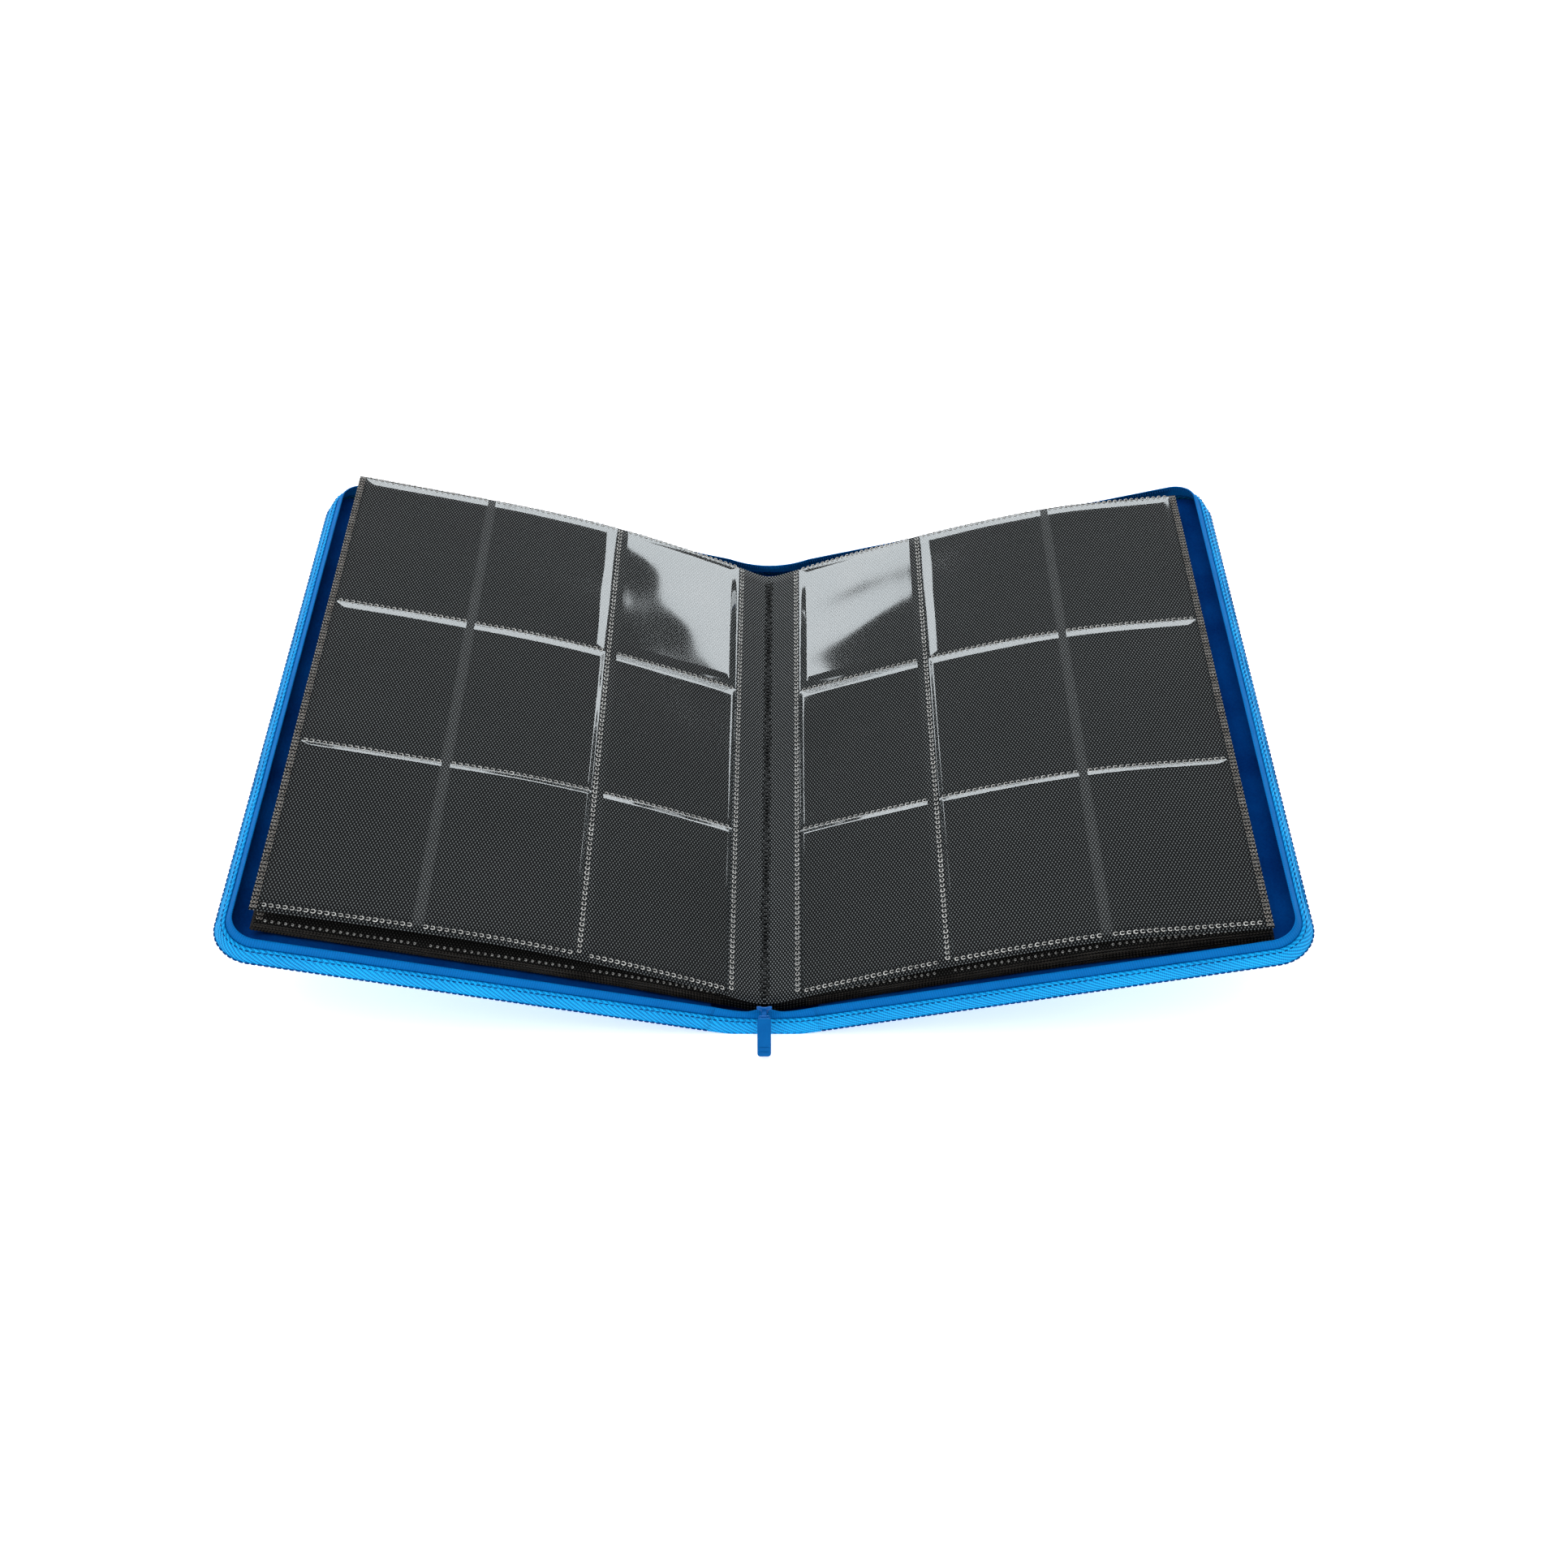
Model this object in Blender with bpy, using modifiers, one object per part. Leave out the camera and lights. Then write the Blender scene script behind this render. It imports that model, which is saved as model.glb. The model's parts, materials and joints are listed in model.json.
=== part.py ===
"""Zip-round trading card binder lying open: two boarded covers, a soft spine and twenty side-loading leaves.

Frame: +X to the right-hand cover, +Y to the head of the pages, +Z up. The origin is the middle of the
spine's underside. Each cover is drawn in its own plane (s outwards from the spine, y, n off the underside)
and is then tilted about its hinge axis. Lengths are millimetres, turned into metres by MM.
"""

import math

import bmesh
import bpy
import numpy as np
from mathutils import Matrix, Vector

MM = 0.001
SHARP_ANGLE = math.radians(35.0)

# Case
LENGTH = 320.0  # along Y
COVER_DEPTH = 230.0  # from the board's spine edge to the outer edge
CORNER_R = 18.0
COVER_TILT = math.radians(15.0)  # each cover off the level
BOARD_EDGE_X = 27.0  # spine edge of each cover's underside
BOARD_EDGE_Z = 2.45
HINGE_X = 18.0
HINGE_Z = 1.2

# Layers of a cover, heights n above its underside
SKIN_N = (0.0, 1.0)
BOARD_N = (1.3, 2.9)
LINING_N = (3.2, 3.9)
BOARD_INSET = 2.6
LINING_INSET = 3.3
WALL_T = 1.1
WALL_N = (1.8, 5.5, 10.0)  # base, middle and stitched top edge of the fabric wall
WALL_LEAN_END = 1.5  # inward lean of the head and tail walls up to the rim
WALL_LEAN_SIDE = 6.0  # inward lean of the fore-edge wall up to the rim
TAPE_T = 0.6
TAPE_N = (7.6, 12.0, 16.2)
TAPE_INSET = 1.45
RIM_N = 16.2
COIL_R = 1.0
COIL_N = 15.2
COIL_INSET = 3.35

# Spine
SPINE_HALF = 17.4
SPINE_SKIN_Z = (0.0, 1.0)
SPINE_BOARD_Z = (1.3, 2.5)
SPINE_LINING_Z = (2.8, 3.5)
BINDING_TAPE_Z = (3.8, 4.8)
BINDING_TAPE_HALF = 6.0
FOLD_HALF = 2.2
FOLD_Z = (5.1, 11.9)
FOLD_BEVEL = 0.8
SEAM_PITCH = 6.0
SEAM_HALF = 1.8
SEAM_WIRE_R = 0.35
SEAM_MARGIN = 4.0  # from each end of the fold to the first stitch
HINGE_EASE = 0.6  # how late a hinge strip rises to its cover
# The covers' WALL_N and TAPE_N carried across the spine: the slack head sags more than the zipped tail
SPINE_WALL_Z = {"tail": (1.4, 6.0, 10.6), "head": (1.2, 4.8, 8.2)}
SPINE_TAPE_Z = {"tail": (8.0, 12.0, 15.8), "head": (6.2, 9.6, 12.8)}
SPINE_WALL_X0 = 0.3  # each half of a soft wall stops this far from the middle
SPINE_TAPE_X0 = {"tail": 2.2, "head": 1.1}  # further out where the slider's post comes through

# Pages
LEAF_T = 0.34
LEAF_Y = (-151.0, 147.0)
LEAVES_IN_BLOCK = 9
BLOCK_X0 = 20.5  # inner edge of the stiff part of the lower leaves
TOP_X0 = 17.0  # crease of the top leaf, just outside its spine weld
GUTTER_X = (3.0, 5.5, 12.0)  # inner edge of the sewn margins, and two more stations of their outline
SOFT_GAP = 0.4
# Leaf sections as (distance from the middle, height): the lowest leaf, the ninth and the lifted top one
LEFT_LOW = ((4.6, 6.4), (16, 9.5), (53, 21.5), (91.5, 33.2), (143, 47.2), (229.5, 70.8))
LEFT_NINTH = ((4.6, 11.6), (16, 15.0), (53, 27.4), (91.5, 38.6), (143, 52.4), (227, 74.9))
LEFT_TOP = ((4.6, 12.6), (14, 18.0), (40, 30.2), (83, 48.0), (120, 60.4), (155, 69.9), (226, 87.0))
RIGHT_LOW = ((4.6, 6.4), (16, 9.3), (53, 20.0), (89, 30.2), (133, 42.0), (187, 54.5), (229.5, 64.0))
RIGHT_NINTH = ((4.6, 11.6), (16, 14.8), (53, 25.5), (89, 36.2), (157, 56.3), (227.5, 70.5))
RIGHT_TOP = ((4.6, 12.6), (15, 17.2), (40, 27.0), (85, 43.6), (120, 54.8), (156, 64.0), (227.5, 74.0))
LEAF_STEPS = 22
FILM_T = 0.25
FILM_GAP = 0.3
FILM_Y = (-148.4, 146.4)
FILM_COLUMNS = {"outer": (157.0, 224.6), "middle": (87.0, 153.0), "inner": (17.4, 80.5)}

# Zip slider and its pull tab
SLIDER_FRONT = ((-4.2, -161.6, 9.6), (4.2, -160.3, 18.4))
SLIDER_POST = ((-0.8, -161.5, 12.0), (0.8, -156.4, 16.4))
SLIDER_BACK = ((-1.8, -156.8, 11.0), (1.8, -155.4, 17.4))
LUG_X = (2.1, 3.2)
LUG_HALF = 1.1
LUG_ROOT = 0.9  # how deep a lug is set into the front plate
BAR_HALF = 2.8
BAR_R = 0.7
TAB_PIVOT = (0.0, -163.7, 16.5)
TAB_EYE_R = 1.15
TAB_EYE_OUTER_R = 1.9
TAB_EYE_HALF = 1.58
TAB_LENGTH = 16.8
TAB_WIDTH = 6.5
TAB_T = 1.3
TAB_NECK_HALF = 1.7
TAB_NECK_START = 1.3
TAB_SHOULDER = 2.9
TAB_CHAMFER = 0.8
TAB_CORNER_R = 1.6
TAB_SLOPE = 50.0  # degrees below level

for old in list(bpy.data.objects):
    bpy.data.objects.remove(old, do_unlink=True)

scene = bpy.context.scene
binder = bpy.data.collections.new("card_binder")
cutters = bpy.data.collections.new("cutters")
cutters.hide_render = True
scene.collection.children.link(binder)
scene.collection.children.link(cutters)


def material(name, colour, roughness, metallic=0.0):
    made = bpy.data.materials.new(name)
    made.use_nodes = True
    shader = made.node_tree.nodes["Principled BSDF"]
    shader.inputs["Base Color"].default_value = (*colour, 1.0)
    shader.inputs["Roughness"].default_value = roughness
    shader.inputs["Metallic"].default_value = metallic
    return made


MATERIALS = {
    "case_fabric": material("case_fabric", (0.004, 0.24, 0.71), 0.7),
    "cover_board": material("cover_board", (0.30, 0.24, 0.18), 0.9),
    "velvet_lining": material("velvet_lining", (0.002, 0.06, 0.30), 0.95),
    "zip_tape": material("zip_tape", (0.003, 0.17, 0.60), 0.75),
    "zip_coil": material("zip_coil", (0.003, 0.14, 0.52), 0.45),
    "binding_cloth": material("binding_cloth", (0.01, 0.012, 0.014), 0.85),
    "seam_thread": material("seam_thread", (0.012, 0.013, 0.014), 0.7),
    "leaf_sheet": material("leaf_sheet", (0.028, 0.033, 0.036), 0.55),
    "pocket_film": material("pocket_film", (0.42, 0.46, 0.48), 0.15),
    "slider_metal": material("slider_metal", (0.003, 0.16, 0.55), 0.35, 0.6),
    "pull_tab": material("pull_tab", (0.003, 0.12, 0.42), 0.5),
}


def add(name, mesh, slot, matrix=None, collection=None):
    obj = bpy.data.objects.new(name, mesh)
    (collection or binder).objects.link(obj)
    if matrix is not None:
        obj.matrix_world = matrix
    if slot:
        mesh.materials.append(MATERIALS[slot])
    return obj


def mesh_from(bm, name):
    mesh = bpy.data.meshes.new(name)
    bm.to_mesh(mesh)
    bm.free()
    return mesh


def facing_out(bm):
    bmesh.ops.recalc_face_normals(bm, faces=bm.faces)
    return bm


def flat_face(points):
    """One flat face through the points, looking up."""
    bm = bmesh.new()
    face = bm.faces.new([bm.verts.new(Vector(point) * MM) for point in points])
    face.normal_update()
    if face.normal.z < 0:
        face.normal_flip()
    return bm


def smooth(obj):
    for face in obj.data.polygons:
        face.use_smooth = True
    obj.data.set_sharp_from_angle(angle=SHARP_ANGLE)
    return obj


def solidify(obj, thickness):
    mod = obj.modifiers.new("Solidify", "SOLIDIFY")
    mod.thickness = thickness * MM
    mod.offset = -1.0
    mod.use_even_offset = True
    mod.show_viewport = mod.show_render = True
    return obj


def block(name, slot, low, high, bevel=0.0, collection=None):
    bm = bmesh.new()
    bmesh.ops.create_cube(bm, size=1.0)
    size = [(b - a) * MM for a, b in zip(low, high)]
    middle = [(a + b) / 2 * MM for a, b in zip(low, high)]
    bmesh.ops.scale(bm, vec=size, verts=bm.verts)
    bmesh.ops.translate(bm, vec=middle, verts=bm.verts)
    obj = add(name, mesh_from(facing_out(bm), name), slot, collection=collection)
    if bevel:
        mod = obj.modifiers.new("Bevel", "BEVEL")
        mod.width = bevel * MM
        mod.segments = 2
        mod.show_viewport = mod.show_render = True
    return obj


def cylinder_x(name, slot, radius, half, centre, segments, collection=None):
    bm = bmesh.new()
    turn = Matrix.Rotation(math.radians(90), 4, "Y")
    at = Matrix.Translation(Vector(centre) * MM)
    bmesh.ops.create_cone(
        bm, cap_ends=True, segments=segments, radius1=radius * MM, radius2=radius * MM,
        depth=2 * half * MM, matrix=at @ turn,
    )
    return add(name, mesh_from(facing_out(bm), name), slot, collection=collection)


def boolean(obj, other, operation):
    mod = obj.modifiers.new(other.name, "BOOLEAN")
    mod.operation = operation
    mod.solver = "EXACT"
    mod.object = other
    mod.show_viewport = mod.show_render = True
    other.display_type = "WIRE"
    other.hide_render = True


def swept_sheet(name, slot, rows, thickness, outward, matrix=None):
    """A skin pulled out row by row through the points, and given its thickness on the inside."""
    bm = bmesh.new()
    row = [bm.verts.new(Vector(point) * MM) for point in rows[0]]
    edges = [bm.edges.new(pair) for pair in zip(row, row[1:])]
    for points in rows[1:]:
        made = bmesh.ops.extrude_edge_only(bm, edges=edges)["geom"]
        fresh = {item for item in made if isinstance(item, bmesh.types.BMVert)}
        edges = [item for item in made if isinstance(item, bmesh.types.BMEdge) and set(item.verts) <= fresh]
        pulled = [{edge.other_vert(vert) for edge in vert.link_edges} & fresh for vert in row]
        row = [found.pop() for found in pulled]
        for vert, point in zip(row, points):
            vert.co = Vector(point) * MM
    facing_out(bm)
    bm.faces.ensure_lookup_table()
    first = bm.faces[0]
    if first.normal.dot(Vector(outward(first.calc_center_median() / MM))) < 0:
        bmesh.ops.reverse_faces(bm, faces=bm.faces)
    obj = add(name, mesh_from(bm, name), slot, matrix)
    solidify(obj, thickness)
    return smooth(obj)


# Covers

TO_AXIS = (HINGE_X - BOARD_EDGE_X, HINGE_Z - BOARD_EDGE_Z)
AXIS_S = TO_AXIS[0] * math.cos(COVER_TILT) + TO_AXIS[1] * math.sin(COVER_TILT)
AXIS_N = TO_AXIS[1] * math.cos(COVER_TILT) - TO_AXIS[0] * math.sin(COVER_TILT)


def cover_matrix(side):
    turn = Matrix.Rotation(-side * COVER_TILT, 4, "Y")
    return Matrix.Translation(Vector((side * HINGE_X, 0, HINGE_Z)) * MM) @ turn


def in_cover(side, s, y, n):
    """A cover's (s, y, n) as a point measured from its hinge axis."""
    return (side * (s - AXIS_S), y, n - AXIS_N)


def three_sides(inner, end_inset, side_inset, arc=7):
    """Tail wall, fore-edge and head wall of a cover as one line of (s, y) with rounded corners."""
    half = LENGTH / 2 - end_inset
    outer = COVER_DEPTH - side_inset
    r = CORNER_R - (end_inset + side_inset) / 2
    line = [(inner, -half), ((inner + outer - r) / 2, -half)]
    for k in range(arc + 1):
        a = math.radians(-90 + 90 * k / arc)
        line.append((outer - r + r * math.cos(a), -half + r + r * math.sin(a)))
    line.append((outer, 0.0))
    for k in range(arc + 1):
        a = math.radians(90 * k / arc)
        line.append((outer - r + r * math.cos(a), half - r + r * math.sin(a)))
    return line + [((inner + outer - r) / 2, half), (inner, half)]


def cover_plate(name, slot, side, low, high, inset, inner=0.0):
    outline = [in_cover(side, s, y, high) for s, y in three_sides(inner, inset, inset)]
    return solidify(add(name, mesh_from(flat_face(outline), name), slot, cover_matrix(side)), high - low)


def wall_rows(side, heights, extra, inner=0.4):
    rows = []
    for n in heights:
        lean = n / RIM_N
        line = three_sides(inner, WALL_LEAN_END * lean + extra, WALL_LEAN_SIDE * lean + extra)
        rows.append([in_cover(side, s, y, n) for s, y in line])
    return rows


def away_from_tray(side):
    middle = Vector(in_cover(side, COVER_DEPTH / 2, 0.0, 8.0))
    return lambda p: Vector(p) - middle


def cover(side, tag):
    cover_plate(f"cover_skin_{tag}", "case_fabric", side, *SKIN_N, 0.0)
    cover_plate(f"cover_board_{tag}", "cover_board", side, *BOARD_N, BOARD_INSET, 0.8)
    cover_plate(f"cover_lining_{tag}", "velvet_lining", side, *LINING_N, LINING_INSET, 0.8)
    matrix, out = cover_matrix(side), away_from_tray(side)
    swept_sheet(f"gusset_wall_{tag}", "case_fabric", wall_rows(side, WALL_N, 0.0), WALL_T, out, matrix)
    swept_sheet(f"zip_tape_{tag}", "zip_tape", wall_rows(side, TAPE_N, TAPE_INSET), TAPE_T, out, matrix)
    coil = bpy.data.curves.new(f"zip_coil_{tag}", "CURVE")
    coil.dimensions = "3D"
    coil.bevel_depth = COIL_R * MM
    coil.bevel_resolution = 1
    coil.use_fill_caps = True
    lean = COIL_N / RIM_N
    line = three_sides(1.0, WALL_LEAN_END * lean + COIL_INSET, WALL_LEAN_SIDE * lean + COIL_INSET)
    spline = coil.splines.new("POLY")
    spline.points.add(len(line) - 1)
    for point, (s, y) in zip(spline.points, line):
        point.co = (*(Vector(in_cover(side, s, y, COIL_N)) * MM), 1.0)
    coil.materials.append(MATERIALS["zip_coil"])
    obj = bpy.data.objects.new(f"zip_coil_{tag}", coil)
    binder.objects.link(obj)
    obj.matrix_world = matrix


# Soft spine


def world_of_cover(side, s, n):
    return (
        side * (BOARD_EDGE_X + s * math.cos(COVER_TILT) - n * math.sin(COVER_TILT)),
        BOARD_EDGE_Z + s * math.sin(COVER_TILT) + n * math.cos(COVER_TILT),
    )


def hinge_strip(name, slot, side, low_x, low_z, s_end, n_end, thickness):
    """A soft strip from the spine's edge up to a cover's edge, at the top surface given."""
    x1, z1 = world_of_cover(1, s_end, n_end)
    half = LENGTH / 2 - (0.0 if slot == "case_fabric" else LINING_INSET)
    rows = []
    for t in np.linspace(0.0, 1.0, 7).tolist():
        x = low_x + (x1 - low_x) * t
        z = low_z + (z1 - low_z) * t**2 * (1 + HINGE_EASE - HINGE_EASE * t)
        rows.append([(side * x, y, z) for y in (-half, half)])
    return swept_sheet(name, slot, rows, thickness, lambda p: (0, 0, 1))


def spine_gusset(name, slot, side, end, heights, cover_n, extra, thickness, start):
    """Half of the soft wall across the spine's head or tail, meeting a cover's wall at its outer edge."""
    rows = []
    for z, n in zip(heights, cover_n):
        lean = n / RIM_N
        y = end * (LENGTH / 2 - WALL_LEAN_END * lean - extra)
        x1, z1 = world_of_cover(1, -0.2, n)
        steps = np.linspace(0.0, 1.0, 9).tolist()
        rows.append([(side * (start + (x1 - start) * t), y, z + (z1 - z) * t**2) for t in steps])
    return swept_sheet(name, slot, rows, thickness, lambda p: (0, end, 0))


def slab(name, slot, half_x, low_y, high_y, heights, bevel=0.0):
    low = (-half_x, low_y, heights[0])
    return block(name, slot, low, (half_x, high_y, heights[1]), bevel)


def zigzag_seam():
    thread = bpy.data.curves.new("zigzag_seam", "CURVE")
    thread.dimensions = "3D"
    thread.bevel_depth = SEAM_WIRE_R * MM
    thread.bevel_resolution = 0
    thread.use_fill_caps = True
    length = LEAF_Y[1] - LEAF_Y[0] - 2 * SEAM_MARGIN
    spline = thread.splines.new("POLY")
    spline.points.add(int(length / (SEAM_PITCH / 2)))
    for k, point in enumerate(spline.points):
        x = SEAM_HALF if k % 2 else -SEAM_HALF
        y = LEAF_Y[0] + SEAM_MARGIN + k * SEAM_PITCH / 2
        point.co = (x * MM, y * MM, (FOLD_Z[1] + 0.3 + SEAM_WIRE_R) * MM, 1.0)
    thread.materials.append(MATERIALS["seam_thread"])
    binder.objects.link(bpy.data.objects.new("zigzag_seam", thread))


def spine():
    half = LENGTH / 2
    inner = half - BOARD_INSET
    slab("spine_skin", "case_fabric", SPINE_HALF, -half, half, SPINE_SKIN_Z)
    slab("spine_board", "cover_board", SPINE_HALF - 0.8, -inner, inner, SPINE_BOARD_Z)
    slab("spine_lining", "velvet_lining", SPINE_HALF - 0.4, -inner, inner, SPINE_LINING_Z)
    slab("binding_tape", "binding_cloth", BINDING_TAPE_HALF, *LEAF_Y, BINDING_TAPE_Z)
    slab("binding_fold", "binding_cloth", FOLD_HALF, *LEAF_Y, FOLD_Z, FOLD_BEVEL)
    zigzag_seam()
    for side, tag in ((-1, "l"), (1, "r")):
        hinge_strip(
            f"hinge_skin_{tag}", "case_fabric", side, SPINE_HALF + 0.4, SPINE_SKIN_Z[1] + 0.1, -0.4, 1.0, 0.9
        )
        hinge_strip(
            f"hinge_lining_{tag}", "velvet_lining", side, SPINE_HALF, SPINE_LINING_Z[1], 0.3, LINING_N[1], 0.7
        )
        for end, place in ((-1, "tail"), (1, "head")):
            wall = (SPINE_WALL_Z[place], WALL_N, 0.0, WALL_T, SPINE_WALL_X0)
            spine_gusset(f"{place}_gusset_{tag}", "case_fabric", side, end, *wall)
            tape = (SPINE_TAPE_Z[place], TAPE_N, TAPE_INSET, TAPE_T, SPINE_TAPE_X0[place])
            spine_gusset(f"{place}_zip_tape_{tag}", "zip_tape", side, end, *tape)


def slider():
    front = block("zip_slider", "slider_metal", *SLIDER_FRONT)
    _, y, z = TAB_PIVOT
    joined = [
        block("slider_post", None, *SLIDER_POST, collection=cutters),
        block("slider_back", None, *SLIDER_BACK, collection=cutters),
    ]
    for side in (-1, 1):
        inner, outer = sorted((side * LUG_X[0], side * LUG_X[1]))
        low = (inner, y - LUG_HALF, z - LUG_HALF)
        high = (outer, SLIDER_FRONT[0][1] + LUG_ROOT, z + LUG_HALF)
        joined.append(block(f"slider_lug_{side}", None, low, high, collection=cutters))
    joined.append(cylinder_x("slider_bar", None, BAR_R, BAR_HALF, TAB_PIVOT, 16, collection=cutters))
    for other in joined:
        boolean(front, other, "UNION")


def pull_tab():
    """Drawn along +Y from the pivot, then laid down in front of the slider with its origin on the pivot."""
    half = TAB_WIDTH / 2
    outline = [
        (TAB_NECK_HALF, TAB_NECK_START),
        (TAB_NECK_HALF, TAB_SHOULDER),
        (half - TAB_CHAMFER, TAB_SHOULDER),
        (half, TAB_SHOULDER + TAB_CHAMFER),
    ]
    for a in np.linspace(0.0, math.pi / 2, 7).tolist():
        x = half - TAB_CORNER_R * (1 - math.cos(a))
        outline.append((x, TAB_LENGTH - TAB_CORNER_R * (1 - math.sin(a))))
    outline += [(-x, y) for x, y in reversed(outline)]
    plate = mesh_from(flat_face([(x, y, TAB_T / 2) for x, y in outline]), "pull_tab")
    slope = Matrix.Rotation(math.radians(180 + TAB_SLOPE), 4, "X")
    place = Matrix.Translation(Vector(TAB_PIVOT) * MM) @ slope
    tab = solidify(add("pull_tab", plate, "pull_tab", place), TAB_T)
    eye = cylinder_x("tab_eye", None, TAB_EYE_OUTER_R, TAB_EYE_HALF, (0, 0, 0), 28, collection=cutters)
    hole = cylinder_x("tab_hole", None, TAB_EYE_R, BAR_HALF, (0, 0, 0), 28, collection=cutters)
    for helper, operation in ((eye, "UNION"), (hole, "DIFFERENCE")):
        helper.matrix_world = place
        boolean(tab, helper, operation)


# Pages


def section(points, xs):
    """Heights of a smooth line through the points at each distance in xs, straight beyond its outer end."""
    px, pz = np.array(points, float).T
    slope = np.gradient(pz, px)
    k = np.clip(np.searchsorted(px, xs, "right") - 1, 0, len(px) - 2)
    h = px[k + 1] - px[k]
    t = np.minimum((xs - px[k]) / h, 1.0)
    return (
        (2 * t**3 - 3 * t**2 + 1) * pz[k]
        + (t**3 - 2 * t**2 + t) * h * slope[k]
        + (3 * t**2 - 2 * t**3) * pz[k + 1]
        + (t**3 - t**2) * h * slope[k + 1]
        + np.maximum(xs - px[-1], 0.0) * slope[-1]
    )


def height(points, x):
    return section(points, np.array([x])).item()


def spread(start, end):
    """Distances from start to end, closer together near the fold."""
    return start + (end - start) * np.linspace(0, 1, LEAF_STEPS + 1) ** 1.35


def lifted(xs, zs, gap):
    """The section moved off its surface by gap, square to it."""
    slope = np.gradient(zs, xs)
    size = np.sqrt(1 + slope**2)
    return xs - gap * slope / size, zs + gap / size


def curved_sheet(name, slot, side, xs, zs, ys, thickness, axis):
    """A sheet whose upper surface is the section (xs, zs), with its origin on its body's hinge axis."""
    origin = Vector((side * axis[0], 0, axis[1]))
    rows = [[Vector((side * x, y, z)) - origin for y in ys] for x, z in zip(xs.tolist(), zs.tolist())]
    return swept_sheet(name, slot, rows, thickness, lambda p: (0, 0, 1), Matrix.Translation(origin * MM))


def gutter(side, tag, low, ninth, top):
    """The sewn inner margins of a side's leaves, as one soft solid between the fold and the stiff leaves."""
    name = f"gutter_{tag}"
    inner, second, third = GUTTER_X
    outer, crease = BLOCK_X0 - SOFT_GAP, TOP_X0 - SOFT_GAP
    outline = [(inner, FOLD_Z[0])]
    outline += [(x, height(low, x) - LEAF_T) for x in (second, third, outer)]
    outline += [(x, height(ninth, outer)) for x in (outer, crease)]
    outline += [(x, height(top, x)) for x in (crease, third, second)]
    outline.append((inner, FOLD_Z[1]))
    bm = bmesh.new()
    face = bm.faces.new([bm.verts.new(Vector((side * x, LEAF_Y[0], z)) * MM) for x, z in outline])
    made = bmesh.ops.extrude_face_region(bm, geom=[face])["geom"]
    moved = [item for item in made if isinstance(item, bmesh.types.BMVert)]
    bmesh.ops.translate(bm, vec=(0, (LEAF_Y[1] - LEAF_Y[0]) * MM, 0), verts=moved)
    add(name, mesh_from(facing_out(bm), name), "leaf_sheet")


def pages(side, tag, low, ninth, top):
    cover_axis = (HINGE_X, HINGE_Z)
    top_axis = (TOP_X0, height(top, TOP_X0)) if side < 0 else cover_axis
    for k in range(LEAVES_IN_BLOCK):
        name, t = f"leaf_{tag}{k + 1:02d}", k / (LEAVES_IN_BLOCK - 1)
        xs = spread(BLOCK_X0, low[-1][0] * (1 - t) + ninth[-1][0] * t)
        zs = section(low, np.minimum(xs, low[-1][0])) * (1 - t) + section(ninth, xs) * t
        curved_sheet(name, "leaf_sheet", side, xs, zs, LEAF_Y, LEAF_T, cover_axis)
    xs = spread(TOP_X0, top[-1][0])
    curved_sheet(f"leaf_{tag}10", "leaf_sheet", side, xs, section(top, xs), LEAF_Y, LEAF_T, top_axis)
    for column, (start, end) in FILM_COLUMNS.items():
        xs = np.linspace(start, end, 9)
        xs, zs = lifted(xs, section(top, xs), FILM_GAP + FILM_T)
        curved_sheet(f"film_{tag}_{column}", "pocket_film", side, xs, zs, FILM_Y, FILM_T, top_axis)
    gutter(side, tag, low, ninth, top)


for side, tag in ((-1, "l"), (1, "r")):
    cover(side, tag)
spine()
slider()
pull_tab()
pages(-1, "l", LEFT_LOW, LEFT_NINTH, LEFT_TOP)
pages(1, "r", RIGHT_LOW, RIGHT_NINTH, RIGHT_TOP)
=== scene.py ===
"""Looks of the zip-round trading card binder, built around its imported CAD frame.

Lengths are in millimetres, apart from the studio's lights and camera, which are in metres.
"""

import json
import math

import bmesh
import bpy
import numpy as np
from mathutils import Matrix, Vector


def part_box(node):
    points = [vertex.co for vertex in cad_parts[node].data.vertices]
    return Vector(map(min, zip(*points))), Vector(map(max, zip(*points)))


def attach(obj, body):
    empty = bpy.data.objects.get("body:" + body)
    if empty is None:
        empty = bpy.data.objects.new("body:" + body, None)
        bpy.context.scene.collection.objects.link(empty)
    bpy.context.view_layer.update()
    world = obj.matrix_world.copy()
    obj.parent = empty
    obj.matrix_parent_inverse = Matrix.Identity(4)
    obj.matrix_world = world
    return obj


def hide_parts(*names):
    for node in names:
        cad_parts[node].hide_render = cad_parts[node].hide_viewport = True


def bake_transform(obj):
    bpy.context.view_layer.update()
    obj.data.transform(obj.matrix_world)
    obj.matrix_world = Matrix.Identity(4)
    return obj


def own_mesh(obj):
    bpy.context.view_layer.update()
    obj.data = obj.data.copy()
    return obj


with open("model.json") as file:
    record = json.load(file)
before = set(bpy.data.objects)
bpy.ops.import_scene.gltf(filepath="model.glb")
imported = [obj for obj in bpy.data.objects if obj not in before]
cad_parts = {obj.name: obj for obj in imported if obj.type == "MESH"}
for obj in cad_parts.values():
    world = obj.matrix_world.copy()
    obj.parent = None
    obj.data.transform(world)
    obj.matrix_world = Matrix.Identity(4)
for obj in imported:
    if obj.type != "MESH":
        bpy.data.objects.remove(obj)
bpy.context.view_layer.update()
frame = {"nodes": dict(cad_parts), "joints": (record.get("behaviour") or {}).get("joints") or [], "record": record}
MM = 0.001
SIDES = ((-1, "l", "left_cover"), (1, "r", "right_cover"))
rng = np.random.default_rng(7)

# Frame

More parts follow.
